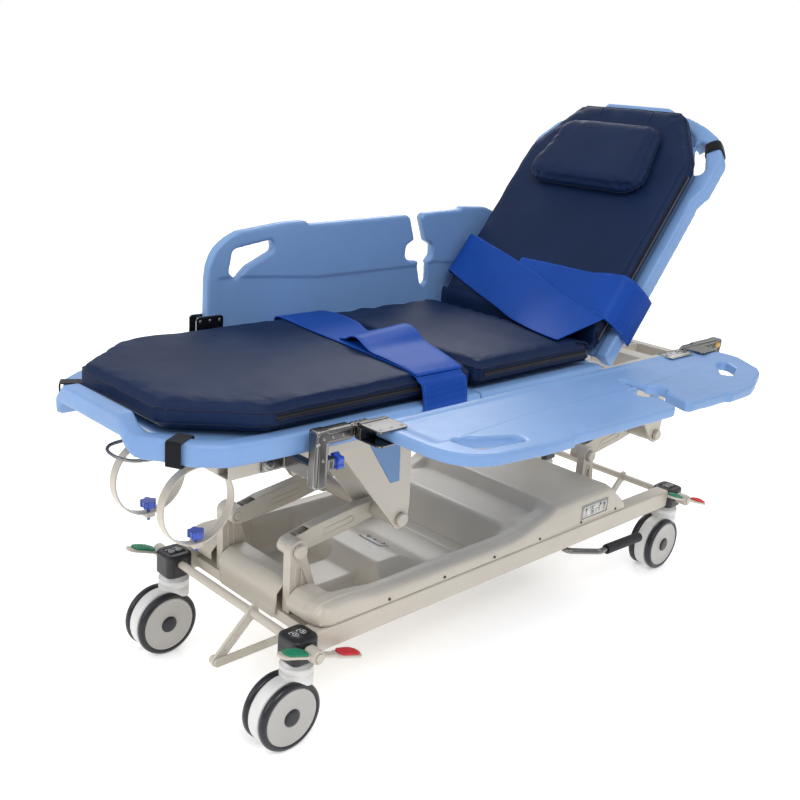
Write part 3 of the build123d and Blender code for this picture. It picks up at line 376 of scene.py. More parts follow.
def block(low, high, rounding, segments=3):
    """Box between two drawing points with rounded edges."""
    bm = bmesh.new()
    bmesh.ops.create_cube(bm, size=1)
    for v in bm.verts:
        v.co = at(*(h if c > 0 else l for c, l, h in zip(v.co, low, high)))
    bmesh.ops.bevel(bm, geom=bm.edges[:], offset=rounding * UNIT, segments=segments,
                    affect="EDGES")
    mesh = bpy.data.meshes.new("shape")
    bm.to_mesh(mesh)
    bm.free()
    return mesh


def sheet(points, faces, thickness):
    """Thin closed sheet, its thickness in drawing millimetres."""
    thick = ("SOLIDIFY", {"thickness": thickness * UNIT, "offset": 0.0})
    return evaluated(mesh_of(points, faces), [thick])


def lathe(profile, centre, axis, sides=48):
    """Surface turned about an axis: profile holds (radius, distance along) in drawing millimetres."""
    axis = Vector(axis).normalized()
    across = axis.orthogonal().normalized()
    other = axis.cross(across)
    points = []
    for radius, along in profile:
        for k in range(sides):
            turn = 2 * math.pi * k / sides
            arm = across * math.cos(turn) + other * math.sin(turn)
            points.append(centre + (axis * along + arm * radius) * UNIT)
    return mesh_of(points, quads(len(profile), sides, round_cols=True))


def tube(points, radius, sides=8, closed=False):
    """Round bar of a radius in drawing millimetres along frame points."""
    count = len(points)
    rings = []
    last = Vector((0, 0, 1))
    for i, p in enumerate(points):
        ahead = points[(i + 1) % count] if closed else points[min(i + 1, count - 1)]
        behind = points[i - 1] if closed else points[max(i - 1, 0)]
        along = (ahead - behind).normalized()
        side = along.cross(last)
        if side.length < 0.1:
            side = along.orthogonal()
        side.normalize()
        last = side.cross(along)
        for k in range(sides):
            turn = 2 * math.pi * k / sides
            rings.append(p + (side * math.cos(turn) + last * math.sin(turn)) * radius * UNIT)
    faces = quads(count, sides, closed, True)
    if not closed:
        faces.append(tuple(range(sides))[::-1])
        faces.append(tuple((count - 1) * sides + k for k in range(sides)))
    return mesh_of(rings, faces)


def curve(points, steps=6):
    """Smooth path through frame points."""
    path = [Vector(p) for p in points]
    path = [path[0] * 2 - path[1]] + path + [path[-1] * 2 - path[-2]]
    result = []
    for i in range(1, len(path) - 2):
        a, b, c, d = path[i - 1: i + 3]
        for k in range(steps):
            t = k / steps
            result.append(
                0.5 * (2 * b + (c - a) * t + (2 * a - 5 * b + 4 * c - d) * t * t
                       + (3 * b - a - 3 * c + d) * t ** 3)
            )
    return result + [path[-2]]


# ---- moulded base cover ----
def cover_height(x, y):
    """Height of the cover's skin over the base: tray, flange crests, platform, hump and ramp."""
    u = abs(y)
    tray = np.interp(
        x,
        (-752, -738, -722, -676, -650, -610, -580, -112, -96, -34, -20, 112, 140, 412, 420, 500, 513),
        (318, 332, 340, 340, 318, 258, 250, 250, 257, 344, 350, 350, 386, 386, 383, 320, 302),
    )
    crest = np.interp(
        x,
        (-752, -738, -700, -640, -560, -60, 0, 60, 112, 140, 412, 420, 500, 513),
        (326, 340, 347, 346, 335, 333, 341, 356, 372, 387, 387, 384, 321, 303),
    )
    skin = tray + (crest - tray) * rise(u, 210, 237) - 2.5 * rise(u, 258, 261)
    # raised middle of the tray that carries the instruction plate
    table = rise(x, -446, -402) * (1 - rise(x, -335, -215)) * (1 - rise(u, 106, 142))
    skin = skin + 42 * table
    # wells that take the hanging brackets
    well = rise(x, -579, -565) * (1 - rise(x, -435, -421)) * rise(u, 53, 67) * (1 - rise(u, 223, 237))
    skin = skin - np.maximum(skin - 216, 0) * well * (u < 240)
    # edge rolls over into the skirt
    roll = np.clip((u - 262) / (COVER_EDGE - 262), 0, 1)
    return skin - (1 - np.sqrt(1 - roll ** 2 * 0.96)) * 15


def base_cover():
    """Skin of the cover over an even grid, with skirts, apron and openings for the posts."""
    xs = np.unique(np.concatenate([
        np.arange(-752, -560, 6.0), np.arange(-560, -120, 10.0), np.arange(-120, 150, 6.0),
        np.arange(150, 410, 14.0), np.arange(410, 514, 5.0), [513.0],
    ]))
    half = np.unique(np.concatenate([
        np.arange(0, 48, 12.0), np.arange(48, 72, 4.0), np.arange(72, 104, 8.0),
        np.arange(104, 146, 5.0), [120.0, 158.0], np.arange(150, 204, 9.0),
        np.arange(204, 256, 4.0), np.arange(256, 262, 1.5), np.arange(262, 285, 2.3), [285.0],
    ]))
    ys = np.concatenate([-half[:0:-1], half])
    gx, gy = np.meshgrid(xs, ys, indexing="ij")
    gz = cover_height(gx, gy)
    # skirts down both sides
    wide_x, wide_y, wide_z = gx, gy, gz
    for part in (0.35, 0.8, 1.0):
        edge_z = gz[:, -1:] + (SKIRT_LOW - gz[:, -1:]) * part
        wide_x = np.hstack([gx[:, :1], wide_x, gx[:, -1:]])
        wide_y = np.hstack([gy[:, :1] * 1.002, wide_y, gy[:, -1:] * 1.002])
        wide_z = np.hstack([edge_z, wide_z, edge_z])
    # apron down the foot end, deeper between the posts
    u = abs(wide_y[0])
    foot_low = 294 - 48 * (1 - rise(u, 110, 124))
    top_x, top_y, top_z = wide_x, wide_y, wide_z
    for part in (0.08, 0.5, 1.0):
        edge_z = np.minimum(top_z[0], top_z[0] + (foot_low - top_z[0]) * part)
        wide_x = np.vstack([top_x[:1] - 3, wide_x])
        wide_y = np.vstack([top_y[:1], wide_y])
        wide_z = np.vstack([edge_z, wide_z])
    # rounded corners in plan
    for start, sign, radius in ((COVER_X[0], 1, 40), (COVER_X[1], -1, 16)):
        a = np.clip(1 - sign * (wide_x - start) / radius, 0, 1)
        b = np.clip(1 - (COVER_EDGE - abs(wide_y)) / radius, 0, 1)
        pull = np.maximum(a, b) / np.maximum(np.hypot(a, b), 1e-9)
        wide_x = wide_x + sign * (a - a * pull) * radius * (b > 0)
        wide_y = wide_y - np.sign(wide_y) * (b - b * pull) * radius * (a > 0)
    rows, cols = wide_x.shape
    points = framed(np.stack([wide_x, wide_y, wide_z], axis=-1).reshape(-1, 3))
    faces = []
    for i in range(rows - 1):
        for j in range(cols - 1):
            mid_x = (wide_x[i, j] + wide_x[i + 1, j]) / 2
            mid_u = abs(wide_y[i, j] + wide_y[i, j + 1]) / 2
            in_slot = POST_SLOT[0] < mid_u < POST_SLOT[1]
            if in_slot and (mid_x < -640 or 436 < mid_x):
                continue
            a = i * cols + j
            faces.append((a, a + cols, a + cols + 1, a + 1))
    skin = mesh_of(points, faces)
    bm = bmesh.new()
    bm.from_mesh(skin)
    bmesh.ops.recalc_face_normals(bm, faces=bm.faces)
    if sum(f.normal.z for f in bm.faces) < 0:
        bmesh.ops.reverse_faces(bm, faces=bm.faces)
    bm.to_mesh(skin)
    bm.free()
    solid = evaluated(skin, [("SOLIDIFY", {"thickness": 3 * UNIT, "offset": -1.0})])
    return add("base_cover_moulding", solid, "cover_plastic", "base", ["base_cover"])


base_cover()


# ---- decks and rails ----
def creased(co):
    """Rail panel thinner below the crease that runs along it, with a soft step between."""
    d = drawn(co)
    side = np.sign(d[:, 1].mean())
    upright = np.ptp(d[:, 2]) > np.ptp(d[:, 1])
    height = d[:, 2] - RAIL_Z if upright else abs(d[:, 1]) - RAIL_Y
    face = d[:, 1] - side * RAIL_Y if upright else d[:, 2] - RAIL_Z
    x = d[:, 0] - (d[:, 0].min() + RAIL_FOOT)
    crease = np.interp(x, (-560, -275, 110, 200, 420), (182, 160, 165, 172, 150))
    inside = rise(x, -640, -600) * (1 - rise(x, 600, 660))
    thin = 4.2 * (1 - rise(height, crease - 4, crease + 4)) * rise(height, 34, 52) * inside
    shift = -np.sign(face) * thin * (abs(face) > 6)
    # head end drawn in to a full round
    was = np.interp(height, (150, 276, 336), (690, 600, 420))
    now = np.interp(
        height,
        (20, 50, 90, 130, 170, 210, 250, 276, 336),
        (640, 672, 688, 690, 682, 658, 618, 580, 420),
    )
    stretch = (now - 480) / np.maximum(was - 480, 60)
    d[:, 0] += np.where(x > 480, (x - 480) * (np.minimum(stretch, 1) - 1), 0)
    # top corner at the foot end swept in a wide curve
    was = np.interp(height, (240, 260, 275, 286, 293, 300), (657, 654, 648, 636, 622, 574))
    now = np.interp(
        height,
        (180, 215, 240, 260, 275, 286, 293, 300),
        (657, 652, 642, 627, 610, 592, 577, 564),
    )
    squeeze = np.clip((now - 560) / (was - 560), 0.05, 1)
    d[:, 0] += np.where(x < -560, (x + 560) * (squeeze - 1), 0)
    d[:, 1 if upright else 2] += shift
    return framed(d)


def shorter_head(co):
    """Back deck with its head end drawn in under the cushion."""
    inward, outward = np.array(FLAT_BACK), np.array(TO_BACK)
    start, keep = 770 * UNIT, 0.82
    local = co @ inward[:3, :3].T + inward[:3, 3]
    past = local[:, 0] > start
    local[past, 0] = start + (local[past, 0] - start) * keep
    return local @ outward[:3, :3].T + outward[:3, 3]


for node in ("leg_deck", "seat_deck"):
    moulded(node, voxel=4.4)
moulded("back_deck", voxel=4.4, shape=shorter_head)
for node in ("left_rail_panel", "right_rail_panel"):
    moulded(node, voxel=3.6, rounds=7, shape=creased)

# ---- cast and pressed parts ----
for node, voxel, rounds in (
    ("caster_housings", 2.4, 5),
    ("foot_pedals", 1.8, 5),
    ("head_pedals", 1.8, 5),
    ("foot_lift_arms", 1.7, 4),
    ("head_lift_arms", 1.7, 4),
    ("foot_arm_pins", 1.5, 3),
    ("head_arm_pins", 1.5, 3),
    ("rail_hinge_posts", 1.8, 3),
    ("bracket_inserts", 1.6, 4),
):
    moulded(node, voxel=voxel, rounds=rounds)


def studded(co):
    """Brake pads broadened, domed and covered with small studs."""
    d = drawn(co)
    for side in SIDES:
        pad = d[:, 1] * side > 0
        low, high = d[pad].min(0), d[pad].max(0)
        centre = (low + high) / 2
        off = d[pad] - centre
        half = (high - low) / 2
        span = np.clip((off[:, 0] / half[0]) ** 2 + (off[:, 1] / half[1]) ** 2, 0, 1)
        top = off[:, 2] > 0
        stud = np.maximum(np.sin(off[:, 0] * 1.1) * np.sin(off[:, 1] * 1.1), 0)
        off[:, 2] += top * (3.2 * (1 - span) + 0.9 * stud)
        off[:, 1] *= 1.3
        off[:, 0] *= 1.06
        d[pad] = centre + off
    return framed(d)


for end in ("foot", "head"):
    for colour in ("green", "red"):
        moulded(f"{end}_{colour}_pads", voxel=1.2, rounds=3, shape=studded)


def grip_rings(co):
    """Grip swelled by rings along its length."""
    d = drawn(co)
    axis = d.mean(0)
    wave = np.maximum(np.sin(d[:, 0] * 2 * math.pi / 9), -0.3)
    for k in (1, 2):
        d[:, k] += (d[:, k] - axis[k]) * 0.07 * wave
    return framed(d)


moulded("pump_pedal_grip", voxel=1.6, rounds=4, shape=grip_rings)

HOOK_PATH = [(-1002, 44), (-1060, 45), (-1104, 38), (-1128, 16), (-1136, -18), (-1130, -56),
             (-1106, -80), (-1060, -87), (-1002, -86)]
add("wire_hook_loop", tube(curve([at(x, y, 724) for x, y in HOOK_PATH], 5), 4, 10), "chrome", "deck",
    ["wire_hook"])

# ---- casters ----
# profiles hold (radius, distance along the axle or stem)
TYRE_PROFILE = [(74, -7), (79, -8), (83, -7.4), (86, -4.6), (87.6, -1), (88, 3), (87.6, 6.5),
                (86, 10), (83, 12.6), (79, 13.7), (76.5, 14), (75.5, 13.2), (74, 13)]
DISC_PROFILE = [(4, -7), (73.6, -7), (73.6, 11.5), (72, 13), (69, 13.2), (66.5, 12), (63, 11),
                (46, 9.6), (33, 9.8), (27, 11), (23, 12), (4, 12)]
CAP_PROFILE = [(22.5, 11), (22.5, 14), (20.5, 16), (14, 17), (6, 17.2), (0.1, 17.2)]
GUARD_PROFILE = [(0.1, -19), (81, -19), (84, -18), (85.6, -14), (86, -6), (86, 6), (85.6, 14),
                 (84, 18), (81, 19), (0.1, 19)]
COLLAR_PROFILE = [(36, -66), (40.5, -64), (41, -62), (41, -33), (40, -32), (40, -31), (41, -30),
                  (41, -14), (40, -12.5), (37, -12), (37, -2), (20, -1)]
for end, x in (("foot", -STEM_X), ("head", STEM_X)):
    for hand, y in (("right", -STEM_Y), ("left", STEM_Y)):
        name = f"{end}_{hand}"
        body = name + "_wheels"
        tyres, discs, caps = [], [], []
        for side in SIDES:
            hub = at(x - TRAIL, y + side * TWIN, AXLE_Z)
            facing = (0, side, 0)
            tyres.append(lathe(TYRE_PROFILE, hub, facing, 96))
            discs.append(lathe(DISC_PROFILE, hub, facing, 72))
            caps.append(lathe(CAP_PROFILE, hub, facing, 40))
        add("tyres_" + name, joined(tyres + caps), "tyre_rubber", body, ["caster_tyres_" + name])
        add("discs_" + name, joined(discs), "wheel_disc", body, ["caster_wheels_" + name])
        moulded("caster_fork_" + name, voxel=1.9, rounds=5)
        neck = [
            lathe(COLLAR_PROFILE, at(x, y, 228), (0, 0, 1), 56),
            lathe(GUARD_PROFILE, at(x - TRAIL, y, AXLE_Z), (0, 1, 0), 96),
        ]
        add("guard_" + name, joined(neck), "fork_paint", name + "_caster")

# ---- labels, pictograms and small fittings ----
def icon(kind, centre, right, up, size, thick=0.9):
    """Small line drawing: a wheel with its lever, an arrow, or a bed with a raised back."""
    right, up = Vector(right) * size * UNIT, Vector(up) * size * UNIT

    def spot(u, v):
        return centre + right * u + up * v

    def ring(u, v, r):
        points = [
            spot(u + r * math.cos(k * math.pi / 9), v + r * math.sin(k * math.pi / 9)) for k in range(18)
        ]
        return tube(points, thick, 5, closed=True)

    if kind == "wheel":
        return [ring(0.05, -0.15, 0.34), ring(0.05, -0.15, 0.1),
                tube([spot(-0.1, 0.5), spot(0.05, 0.16)], thick, 5),
                tube([spot(-0.45, 0.5), spot(0.35, 0.5)], thick, 5),
                tube([spot(-0.45, 0.5), spot(-0.45, 0.25)], thick, 5)]
    if kind == "arrow":
        return [tube([spot(0, -0.5), spot(0, 0.5)], thick, 5),
                tube([spot(-0.22, 0.2), spot(0, 0.5), spot(0.22, 0.2)], thick, 5)]
    return [tube([spot(-0.6, 0), spot(0.1, 0), spot(0.55, 0.45)], thick, 5), ring(0.42, 0.52, 0.1),
            tube([spot(-0.5, -0.05), spot(-0.4, -0.45)], thick, 5),
            tube([spot(0.2, -0.05), spot(0.3, -0.45)], thick, 5)]


def frame_line(corners, thick=0.8):
    """Thin closed line through corners."""
    return tube(corners, thick, 4, closed=True)


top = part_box("caster_housings")[1].z / UNIT + DROP
plates, prints = [], []
for x in (-STEM_X, STEM_X):
    for y in (-STEM_Y, STEM_Y):
        plates.append(block((x - 25, y - 22, top - 0.6), (x + 25, y + 22, top + 0.5), 0.5, 2))
        for shift in (-11, 11):
            prints += icon("wheel", at(x + shift, y, top + 0.7), (1, 0, 0), (0, 1, 0), 21, 0.8)
add("housing_badges", joined(plates), "housing_plastic", "base")
add("housing_pictograms", joined(prints), "label", "base", material=PRINT_WHITE)

plates, prints = [], []
for side in SIDES:
    inside = side * (COVER_EDGE + 1.4)
    outside = inside + side * 1.4
    low, high = min(inside, outside), max(inside, outside)
    plates.append(block((266, low, 310), (398, high, 356), 0.6, 2))
    face = outside + side * 0.3
    corners = ((269, 313), (395, 313), (395, 353), (269, 353))
    prints.append(frame_line([at(x, face, z) for x, z in corners]))
    for k, kind in enumerate(("arrow", "wheel", "bed", "arrow")):
        prints += icon(kind, at(286 + 31 * k, face, 333), (1, 0, 0), (0, 0, 1), 24)
add("pump_instruction_plates", joined(plates), "label", "base", ["info_plates"])
add("pump_instruction_prints", joined(prints), "label", "base", material=INK)


def table_label():
    """Paper label that follows the slope of the cover's table."""
    def on_cover(x, y, lift):
        return at(x, y, float(cover_height(np.array(x), np.array(y))) + lift)

    rows, cols = 6, 10
    points = [
        on_cover(-330 + 38 * i / rows, -40 + 88 * j / cols, 1.0)
        for i in range(rows + 1) for j in range(cols + 1)
    ]
    add("cover_label", sheet(points, quads(rows + 1, cols + 1), 0.6), "label", "base")
    corners = ((-327, -37), (-327, 45), (-295, 45), (-295, -37))
    marks = [frame_line([on_cover(x, y, 1.4) for x, y in corners], 0.7)]
    for k, kind in enumerate(("bed", "arrow", "wheel")):
        marks += icon(kind, on_cover(-311, -22 + 26 * k, 1.4), (0, -1, 0), (1, 0, 0.1), 18, 0.7)
    add("cover_label_print", joined(marks), "label", "base", material=INK)


table_label()


def rail_point(side, x, height, off):
    """Point on a rail at rest: the right one lies folded out, the left one stands up."""
    if side < 0:
        return at(x + RAIL_SHIFT[side], -RAIL_Y - height, RAIL_Z + off)
    return at(x, RAIL_Y - off, RAIL_Z + height)


def dome(centre, axis, radius):
    """Round rivet head."""
    shape = ((1, 0), (0.92, 0.3), (0.6, 0.52), (0.01, 0.6))
    return lathe([(radius * r, radius * h) for r, h in shape], centre, axis, 16)


for side, hand in ((-1, "right"), (1, "left")):
    facing = (0, 0, 1) if side < 0 else (0, -1, 0)
    off = 16.0 if side < 0 else 17.9
    rivets = []
    for end in SIDES:
        for dx in (-30, 0, 30):
            rivets.append(dome(rail_point(side, end * RAIL_END + dx, 74, off), facing, 4.5))
        rivets.append(dome(rail_point(side, end * RAIL_END - 30, 40, off), facing, 4.5))
        for k in range(4):
            ring = [(15.0, -2), (16.4, -1.6), (16.4, 1.6), (15.0, 2)]
            place = rail_point(side, end * (RAIL_END + 2 + k * 12), 0, 0)
            rivets.append(lathe(ring, place, (1, 0, 0), 32))
    add(f"{hand}_rail_rivets", joined(rivets), "chrome", f"{hand}_rail")

posts = []
for side in SIDES:
    face = side * (RAIL_Y + 16.2)
    for x, end in ((-848, -1), (764, 1)):
        for z in (RAIL_Z - 48, RAIL_Z):
            posts.append(dome(at(x, face, z), (0, side, 0), 4.5))
        for dx in (24, 52):
            posts.append(dome(at(x - end * dx, face, RAIL_Z), (0, side, 0), 4.0))
add("rail_post_rivets", joined(posts), "chrome", "deck")
add("rail_release_button", block((742, -372, 804), (768, -366, 820), 2.5), "knob_plastic", "deck",
    material=AMBER)

LABEL_Z = RAIL_Z + 14.9
paper = block((405, -RAIL_Y - 66, LABEL_Z - 1), (524, -RAIL_Y - 12, LABEL_Z), 0.5, 2)
add("rail_label", paper, "label", "right_rail")
corners = ((409, -368), (520, -368), (520, -414), (409, -414))
marks = [frame_line([at(x, y, LABEL_Z + 0.2) for x, y in corners], 0.7)]
for k, kind in enumerate(("bed", "arrow", "bed", "wheel")):
    marks += icon(kind, at(424 + 27 * k, -391, LABEL_Z + 0.2), (1, 0, 0), (0, 1, 0), 22, 0.7)
add("rail_label_print", joined(marks), "label", "right_rail", material=INK)


# ---- pressed outlines on arms and posts ----
def oblong(cx, cz, angle, half, radius, y, thick):
    """Raised closed bead in a side face."""
    c, s = math.cos(angle), math.sin(angle)
    points = []
    for k in range(24):
        turn = 2 * math.pi * k / 24
        u = radius * math.cos(turn) + (half if math.cos(turn) > 0 else -half)
        v = radius * math.sin(turn)
        points.append(at(cx + u * c - v * s, y, cz + u * s + v * c))
    return tube(points, thick, 6, closed=True)


ARM_TILT = math.radians(7.6)
for end, x, body in (("foot", PIN_FOOT, "foot_arms"), ("head", PIN_HEAD, "head_arms")):
    beads = []
    for side in SIDES:
        for face in (91.6, 124.4):
            z = PIN_Z + 150 * math.tan(ARM_TILT)
            beads.append(oblong(x + 150, z, ARM_TILT, 42, 8, side * face, 1.8))
    add(f"{end}_arm_pressings", joined(beads), "cream_paint", body)
    beads = []
    for side in SIDES:
        for face in (125.6, 152.4):
            beads.append(oblong(x + 2, 366, math.pi / 2, 26, 9, side * face, 1.8))
    add(f"{end}_post_pressings", joined(beads), "cream_paint", "base")

# ---- mattress ----
def local_box(node, matrix):
    """Lowest and highest corner of a CAD node in the frame of matrix."""
    co = np.array([matrix.inverted() @ v.co for v in NODES[node].data.vertices])
    return co.min(0), co.max(0)


def prism(outline, low, high, rounding=0.012):
    """Closed cushion blank over an outline, with its long edges rounded."""
    bm = bmesh.new()
    ring = [bm.verts.new((x, y, low)) for x, y in outline]
    base = bm.faces.new(ring)
    grown = bmesh.ops.extrude_face_region(bm, geom=[base])
    lifted = [v for v in grown["geom"] if isinstance(v, bmesh.types.BMVert)]
    bmesh.ops.translate(bm, verts=lifted, vec=(0, 0, high - low))
    bmesh.ops.recalc_face_normals(bm, faces=bm.faces)
    bmesh.ops.bevel(bm, geom=bm.edges[:], offset=rounding, segments=3, affect="EDGES")
    mesh = bpy.data.meshes.new("blank")
    bm.to_mesh(mesh)
    bm.free()
    return mesh


def inflate(mesh, voxel, cap, pressure=4.0, frames=20):
    """Voxel remesh, blow up as cloth, and limit how far each point may move."""
    start_mesh = evaluated(mesh, [("REMESH", {"mode": "VOXEL", "voxel_size": voxel * MM})])
    scene = bpy.context.scene
    work = bpy.data.objects.new("work", start_mesh)
    scene.collection.objects.link(work)
    cloth = work.modifiers.new("Cloth", "CLOTH")
    cloth.settings.quality = 4
    cloth.settings.tension_stiffness = 30
    cloth.settings.compression_stiffness = 30
    cloth.settings.shear_stiffness = 12
    cloth.settings.bending_stiffness = 1.5
    cloth.settings.use_pressure = True
    cloth.settings.uniform_pressure_force = pressure
    cloth.settings.effector_weights.gravity = 0
    cloth.collision_settings.use_collision = False
    cloth.point_cache.frame_start = 1
    cloth.point_cache.frame_end = frames
    for step in range(1, frames + 1):
        scene.frame_set(step)
    blown = bpy.data.meshes.new_from_object(work.evaluated_get(bpy.context.evaluated_depsgraph_get()))
    scene.frame_set(1)
    start = points_of(start_mesh)
    move = points_of(blown) - start
    reach = np.linalg.norm(move, axis=1, keepdims=True)
    limit = cap * MM
    move *= np.tanh(reach / limit) * limit / np.maximum(reach, 1e-9)
    set_points(blown, start + move)
    bpy.data.objects.remove(work)
    return blown


def pucker(co, low, high, outline, depth):
    """Small gathers that run in from the seamed edges, and a shallow rumple over the face."""
    out = co.copy()
    edges = [
        (np.array(a), np.array(b)) for a, b in zip(outline, outline[1:] + outline[:1])
    ]
    nearest = np.full(len(co), 1e9)
    for a, b in edges:
        along = b - a
        t = np.clip(((co[:, :2] - a) @ along) / (along @ along), 0, 1)
        gap = np.linalg.norm(co[:, :2] - (a + t[:, None] * along), axis=1)
        nearest = np.minimum(nearest, gap)
    fade = np.exp(-((nearest / 0.07) ** 2))
    for i, p in enumerate(co):
        near = noise.noise(Vector((p[0] * 26, p[1] * 26, nearest[i] * 6)))
        wide = noise.noise(Vector((p[0] * 5, p[1] * 7, 3.0)))
        wide += 0.5 * noise.noise(Vector((p[0] * 13, p[1] * 17, 8.0)))
        if p[2] > (low + high) / 2:
            out[i, 2] += depth * MM * (near * fade[i] * 1.1 + wide * 1.1)
    return out


def cushion(name, node, outline, matrix, voxel, cap, depth, shape=None):
    """Cushion over an outline in the place of a CAD node, blown up, gathered, then shaped."""
    low, high = local_box(node, matrix)
    blank = prism(outline, low[2], high[2] - 0.3 * cap * MM)
    mesh = inflate(blank, voxel, cap)
    co = points_of(mesh)
    co[:, 2] = np.maximum(co[:, 2], low[2])
    co = pucker(co, low[2], high[2], outline, depth)
    if shape:
        co = shape(co)
    set_points(mesh, co)
    mesh = evaluated(mesh, [("SUBSURF", {"levels": 1, "render_levels": 1})])
    mesh.transform(matrix)
    return add(name, mesh, SLOT_OF[node], BODY_OF[node], [node])


IDENTITY = Matrix.Identity(4)


def pairs(points):
    """Plan points in frame units."""
    return [(x * UNIT, y * UNIT) for x, y in points]


def wedge(edge, slope, base):
    """Shears the hinge end of a cushion so that it leans away from the fold."""

    def shape(co):
        near = np.clip(1 - abs(co[:, 0] - edge) / 0.14, 0, 1)
        co[:, 0] -= slope * near * (co[:, 2] - base)
        return co

    return shape


LEG_OUTLINE = pairs([(-313, -303), (-313, 303), (-950, 303), (-1120, 166), (-1120, -166),
                     (-950, -303)])
SEAT_OUTLINE = pairs([(-307, -303), (196, -303), (196, 303), (-307, 303)])
BACK_OUTLINE = pairs([(24, -296), (655, -296), (826, -186), (826, 186), (655, 296), (24, 296)])
lc_low, lc_high = local_box("leg_cushion", IDENTITY)
sc_low, sc_high = local_box("seat_cushion", IDENTITY)
bc_low, bc_high = local_box("back_cushion", TO_BACK)
pl_low, pl_high = local_box("pillow", TO_BACK)
leg_mattress = cushion("leg_mattress", "leg_cushion", LEG_OUTLINE, IDENTITY, 6, 5, 2.6)
seat_mattress = cushion("seat_mattress", "seat_cushion", SEAT_OUTLINE, IDENTITY, 6, 5, 2.6,
                        shape=wedge(sc_high[0], 0.78, sc_low[2]))
back_mattress = cushion("back_mattress", "back_cushion", BACK_OUTLINE, TO_BACK, 6, 5, 2.2,
                        shape=wedge(bc_low[0], -0.72, bc_low[2]))


def rounded_box(low, high, radius, narrow=0.0, count=5):
    """Rectangle outline with rounded corners, narrower towards its high end."""
    result = []
    for cx, cy, start in (
        (high[0] - radius, high[1] - radius - narrow, 0),
        (low[0] + radius, high[1] - radius, 90),
        (low[0] + radius, low[1] + radius, 180),
        (high[0] - radius, low[1] + radius + narrow, 270),
    ):
        for k in range(count):
            a = math.radians(start + 90 * k / (count - 1))
            result.append((cx + radius * math.cos(a), cy + radius * math.sin(a)))
    return result


def plump(co):
    """Pillow thicker along its lower edge and thinning towards the top."""
    s = (co[:, 0] - pl_low[0]) / (pl_high[0] - pl_low[0])
    co[:, 2] = pl_low[2] + (co[:, 2] - pl_low[2]) * (1.06 - 0.3 * np.clip(s, 0, 1))
    return co


PILLOW_OUTLINE = rounded_box(pl_low, pl_high, 0.05, 0.02)
pillow = cushion("headrest_pillow", "pillow", PILLOW_OUTLINE, TO_BACK, 5, 8, 1.0, shape=plump)


# ---- seams, zips and the fold between seat and back ----
def surface(*pieces):
    """Search tree over the skins of some pieces."""
    verts, polys = [], []
    for piece in pieces:
        start = len(verts)
        verts += [v.co.copy() for v in piece.data.vertices]
        polys += [[start + i for i in p.vertices] for p in piece.data.polygons]
    return BVHTree.FromPolygons(verts, polys)


def walk(outline, height, matrix, step=9.0, closed=True):
    """Evenly spaced frame points along an outline at a height."""
    result = []
    corners = outline + outline[:1] if closed else outline
    for a, b in zip(corners, corners[1:]):
        a, b = Vector(a), Vector(b)
        count = max(1, round((b - a).length / (step * UNIT)))
        for k in range(count):
            p = a.lerp(b, k / count)
            result.append(matrix @ Vector((p.x, p.y, height)))
    return result


def laid(tree, points, lift):
    """Points moved on to the nearest skin and lifted off it a little."""
    result = []
    for p in points:
        near, normal, _, _ = tree.find_nearest(p)
        result.append(near + normal * lift * UNIT)
    return result


def piping(name, piece, body, rows):
    """Sewn edge lines round a cushion: rows holds (outline, height, matrix, closed)."""
    tree = surface(piece)
    lines = []
    for outline, height, matrix, closed in rows:
        path = laid(tree, walk(outline, height, matrix, closed=closed), 0.4)
        lines.append(tube(path, PIPING_R, 6, closed))
    add(name, joined(lines), "navy_fabric", body, material=SEAM)


def zip_strip(name, piece, body, a, b, matrix, height):
    """Zip along a cushion's side: its tape and its teeth."""
    tree = surface(piece)
    up = (matrix.to_3x3() @ Vector((0, 0, 1))).normalized()
    centre = laid(tree, walk([a, b], height, matrix, 8.0, False), 0.8)
    left = [p + up * ZIP_HALF * UNIT for p in centre]
    right = [p - up * ZIP_HALF * UNIT for p in centre]
    grid = [p for pair in zip(left, right) for p in pair]
    add(name + "_tape", sheet(grid, quads(len(centre), 2), 1.2), "black_webbing", body)
    add(name + "_teeth", tube(centre, 1.5, 6), "navy_fabric", body, material=ZIP)


for name, piece, body, outline, matrix, low, high in (
    ("leg", leg_mattress, "deck", LEG_OUTLINE, IDENTITY, lc_low, lc_high),
    ("seat", seat_mattress, "deck", SEAT_OUTLINE, IDENTITY, sc_low, sc_high),
    ("back", back_mattress, "back", BACK_OUTLINE, TO_BACK, bc_low, bc_high),
):
    upper = high[2] - SEAM_DROP * UNIT
    lower = low[2] + SEAM_DROP * UNIT
    piping(name + "_mattress_piping", piece, body,
           [(outline, upper, matrix, True), (outline, lower, matrix, True)])
    near = sorted(outline, key=lambda p: (round(p[1], 3), p[0]))[:2]
    a = (near[0][0] + 30 * UNIT, near[0][1])
    b = (near[1][0] - 30 * UNIT, near[1][1])
    zip_strip(name + "_mattress_zip", piece, body, a, b, matrix, (low[2] + high[2]) / 2)
piping("pillow_piping", pillow, "back", [(PILLOW_OUTLINE, pl_low[2] + 20 * UNIT, TO_BACK, True)])
# short darts at the head end of the back cushion
back_tree = surface(back_mattress)
darts = []
for y in (-90, 90):
    line = [TO_BACK @ (Vector((s, y + (s - 790) * 0.2, 86)) * UNIT) for s in range(770, 822, 8)]
    darts.append(tube(laid(back_tree, line, 0.3), 1.5, 6))
add("back_mattress_darts", joined(darts), "navy_fabric", "back", material=SEAM)


def on_back(s, y, t):
    """Frame point at a distance up the backrest, across it and off it."""
    return TO_BACK @ (Vector((s, y, t)) * UNIT)


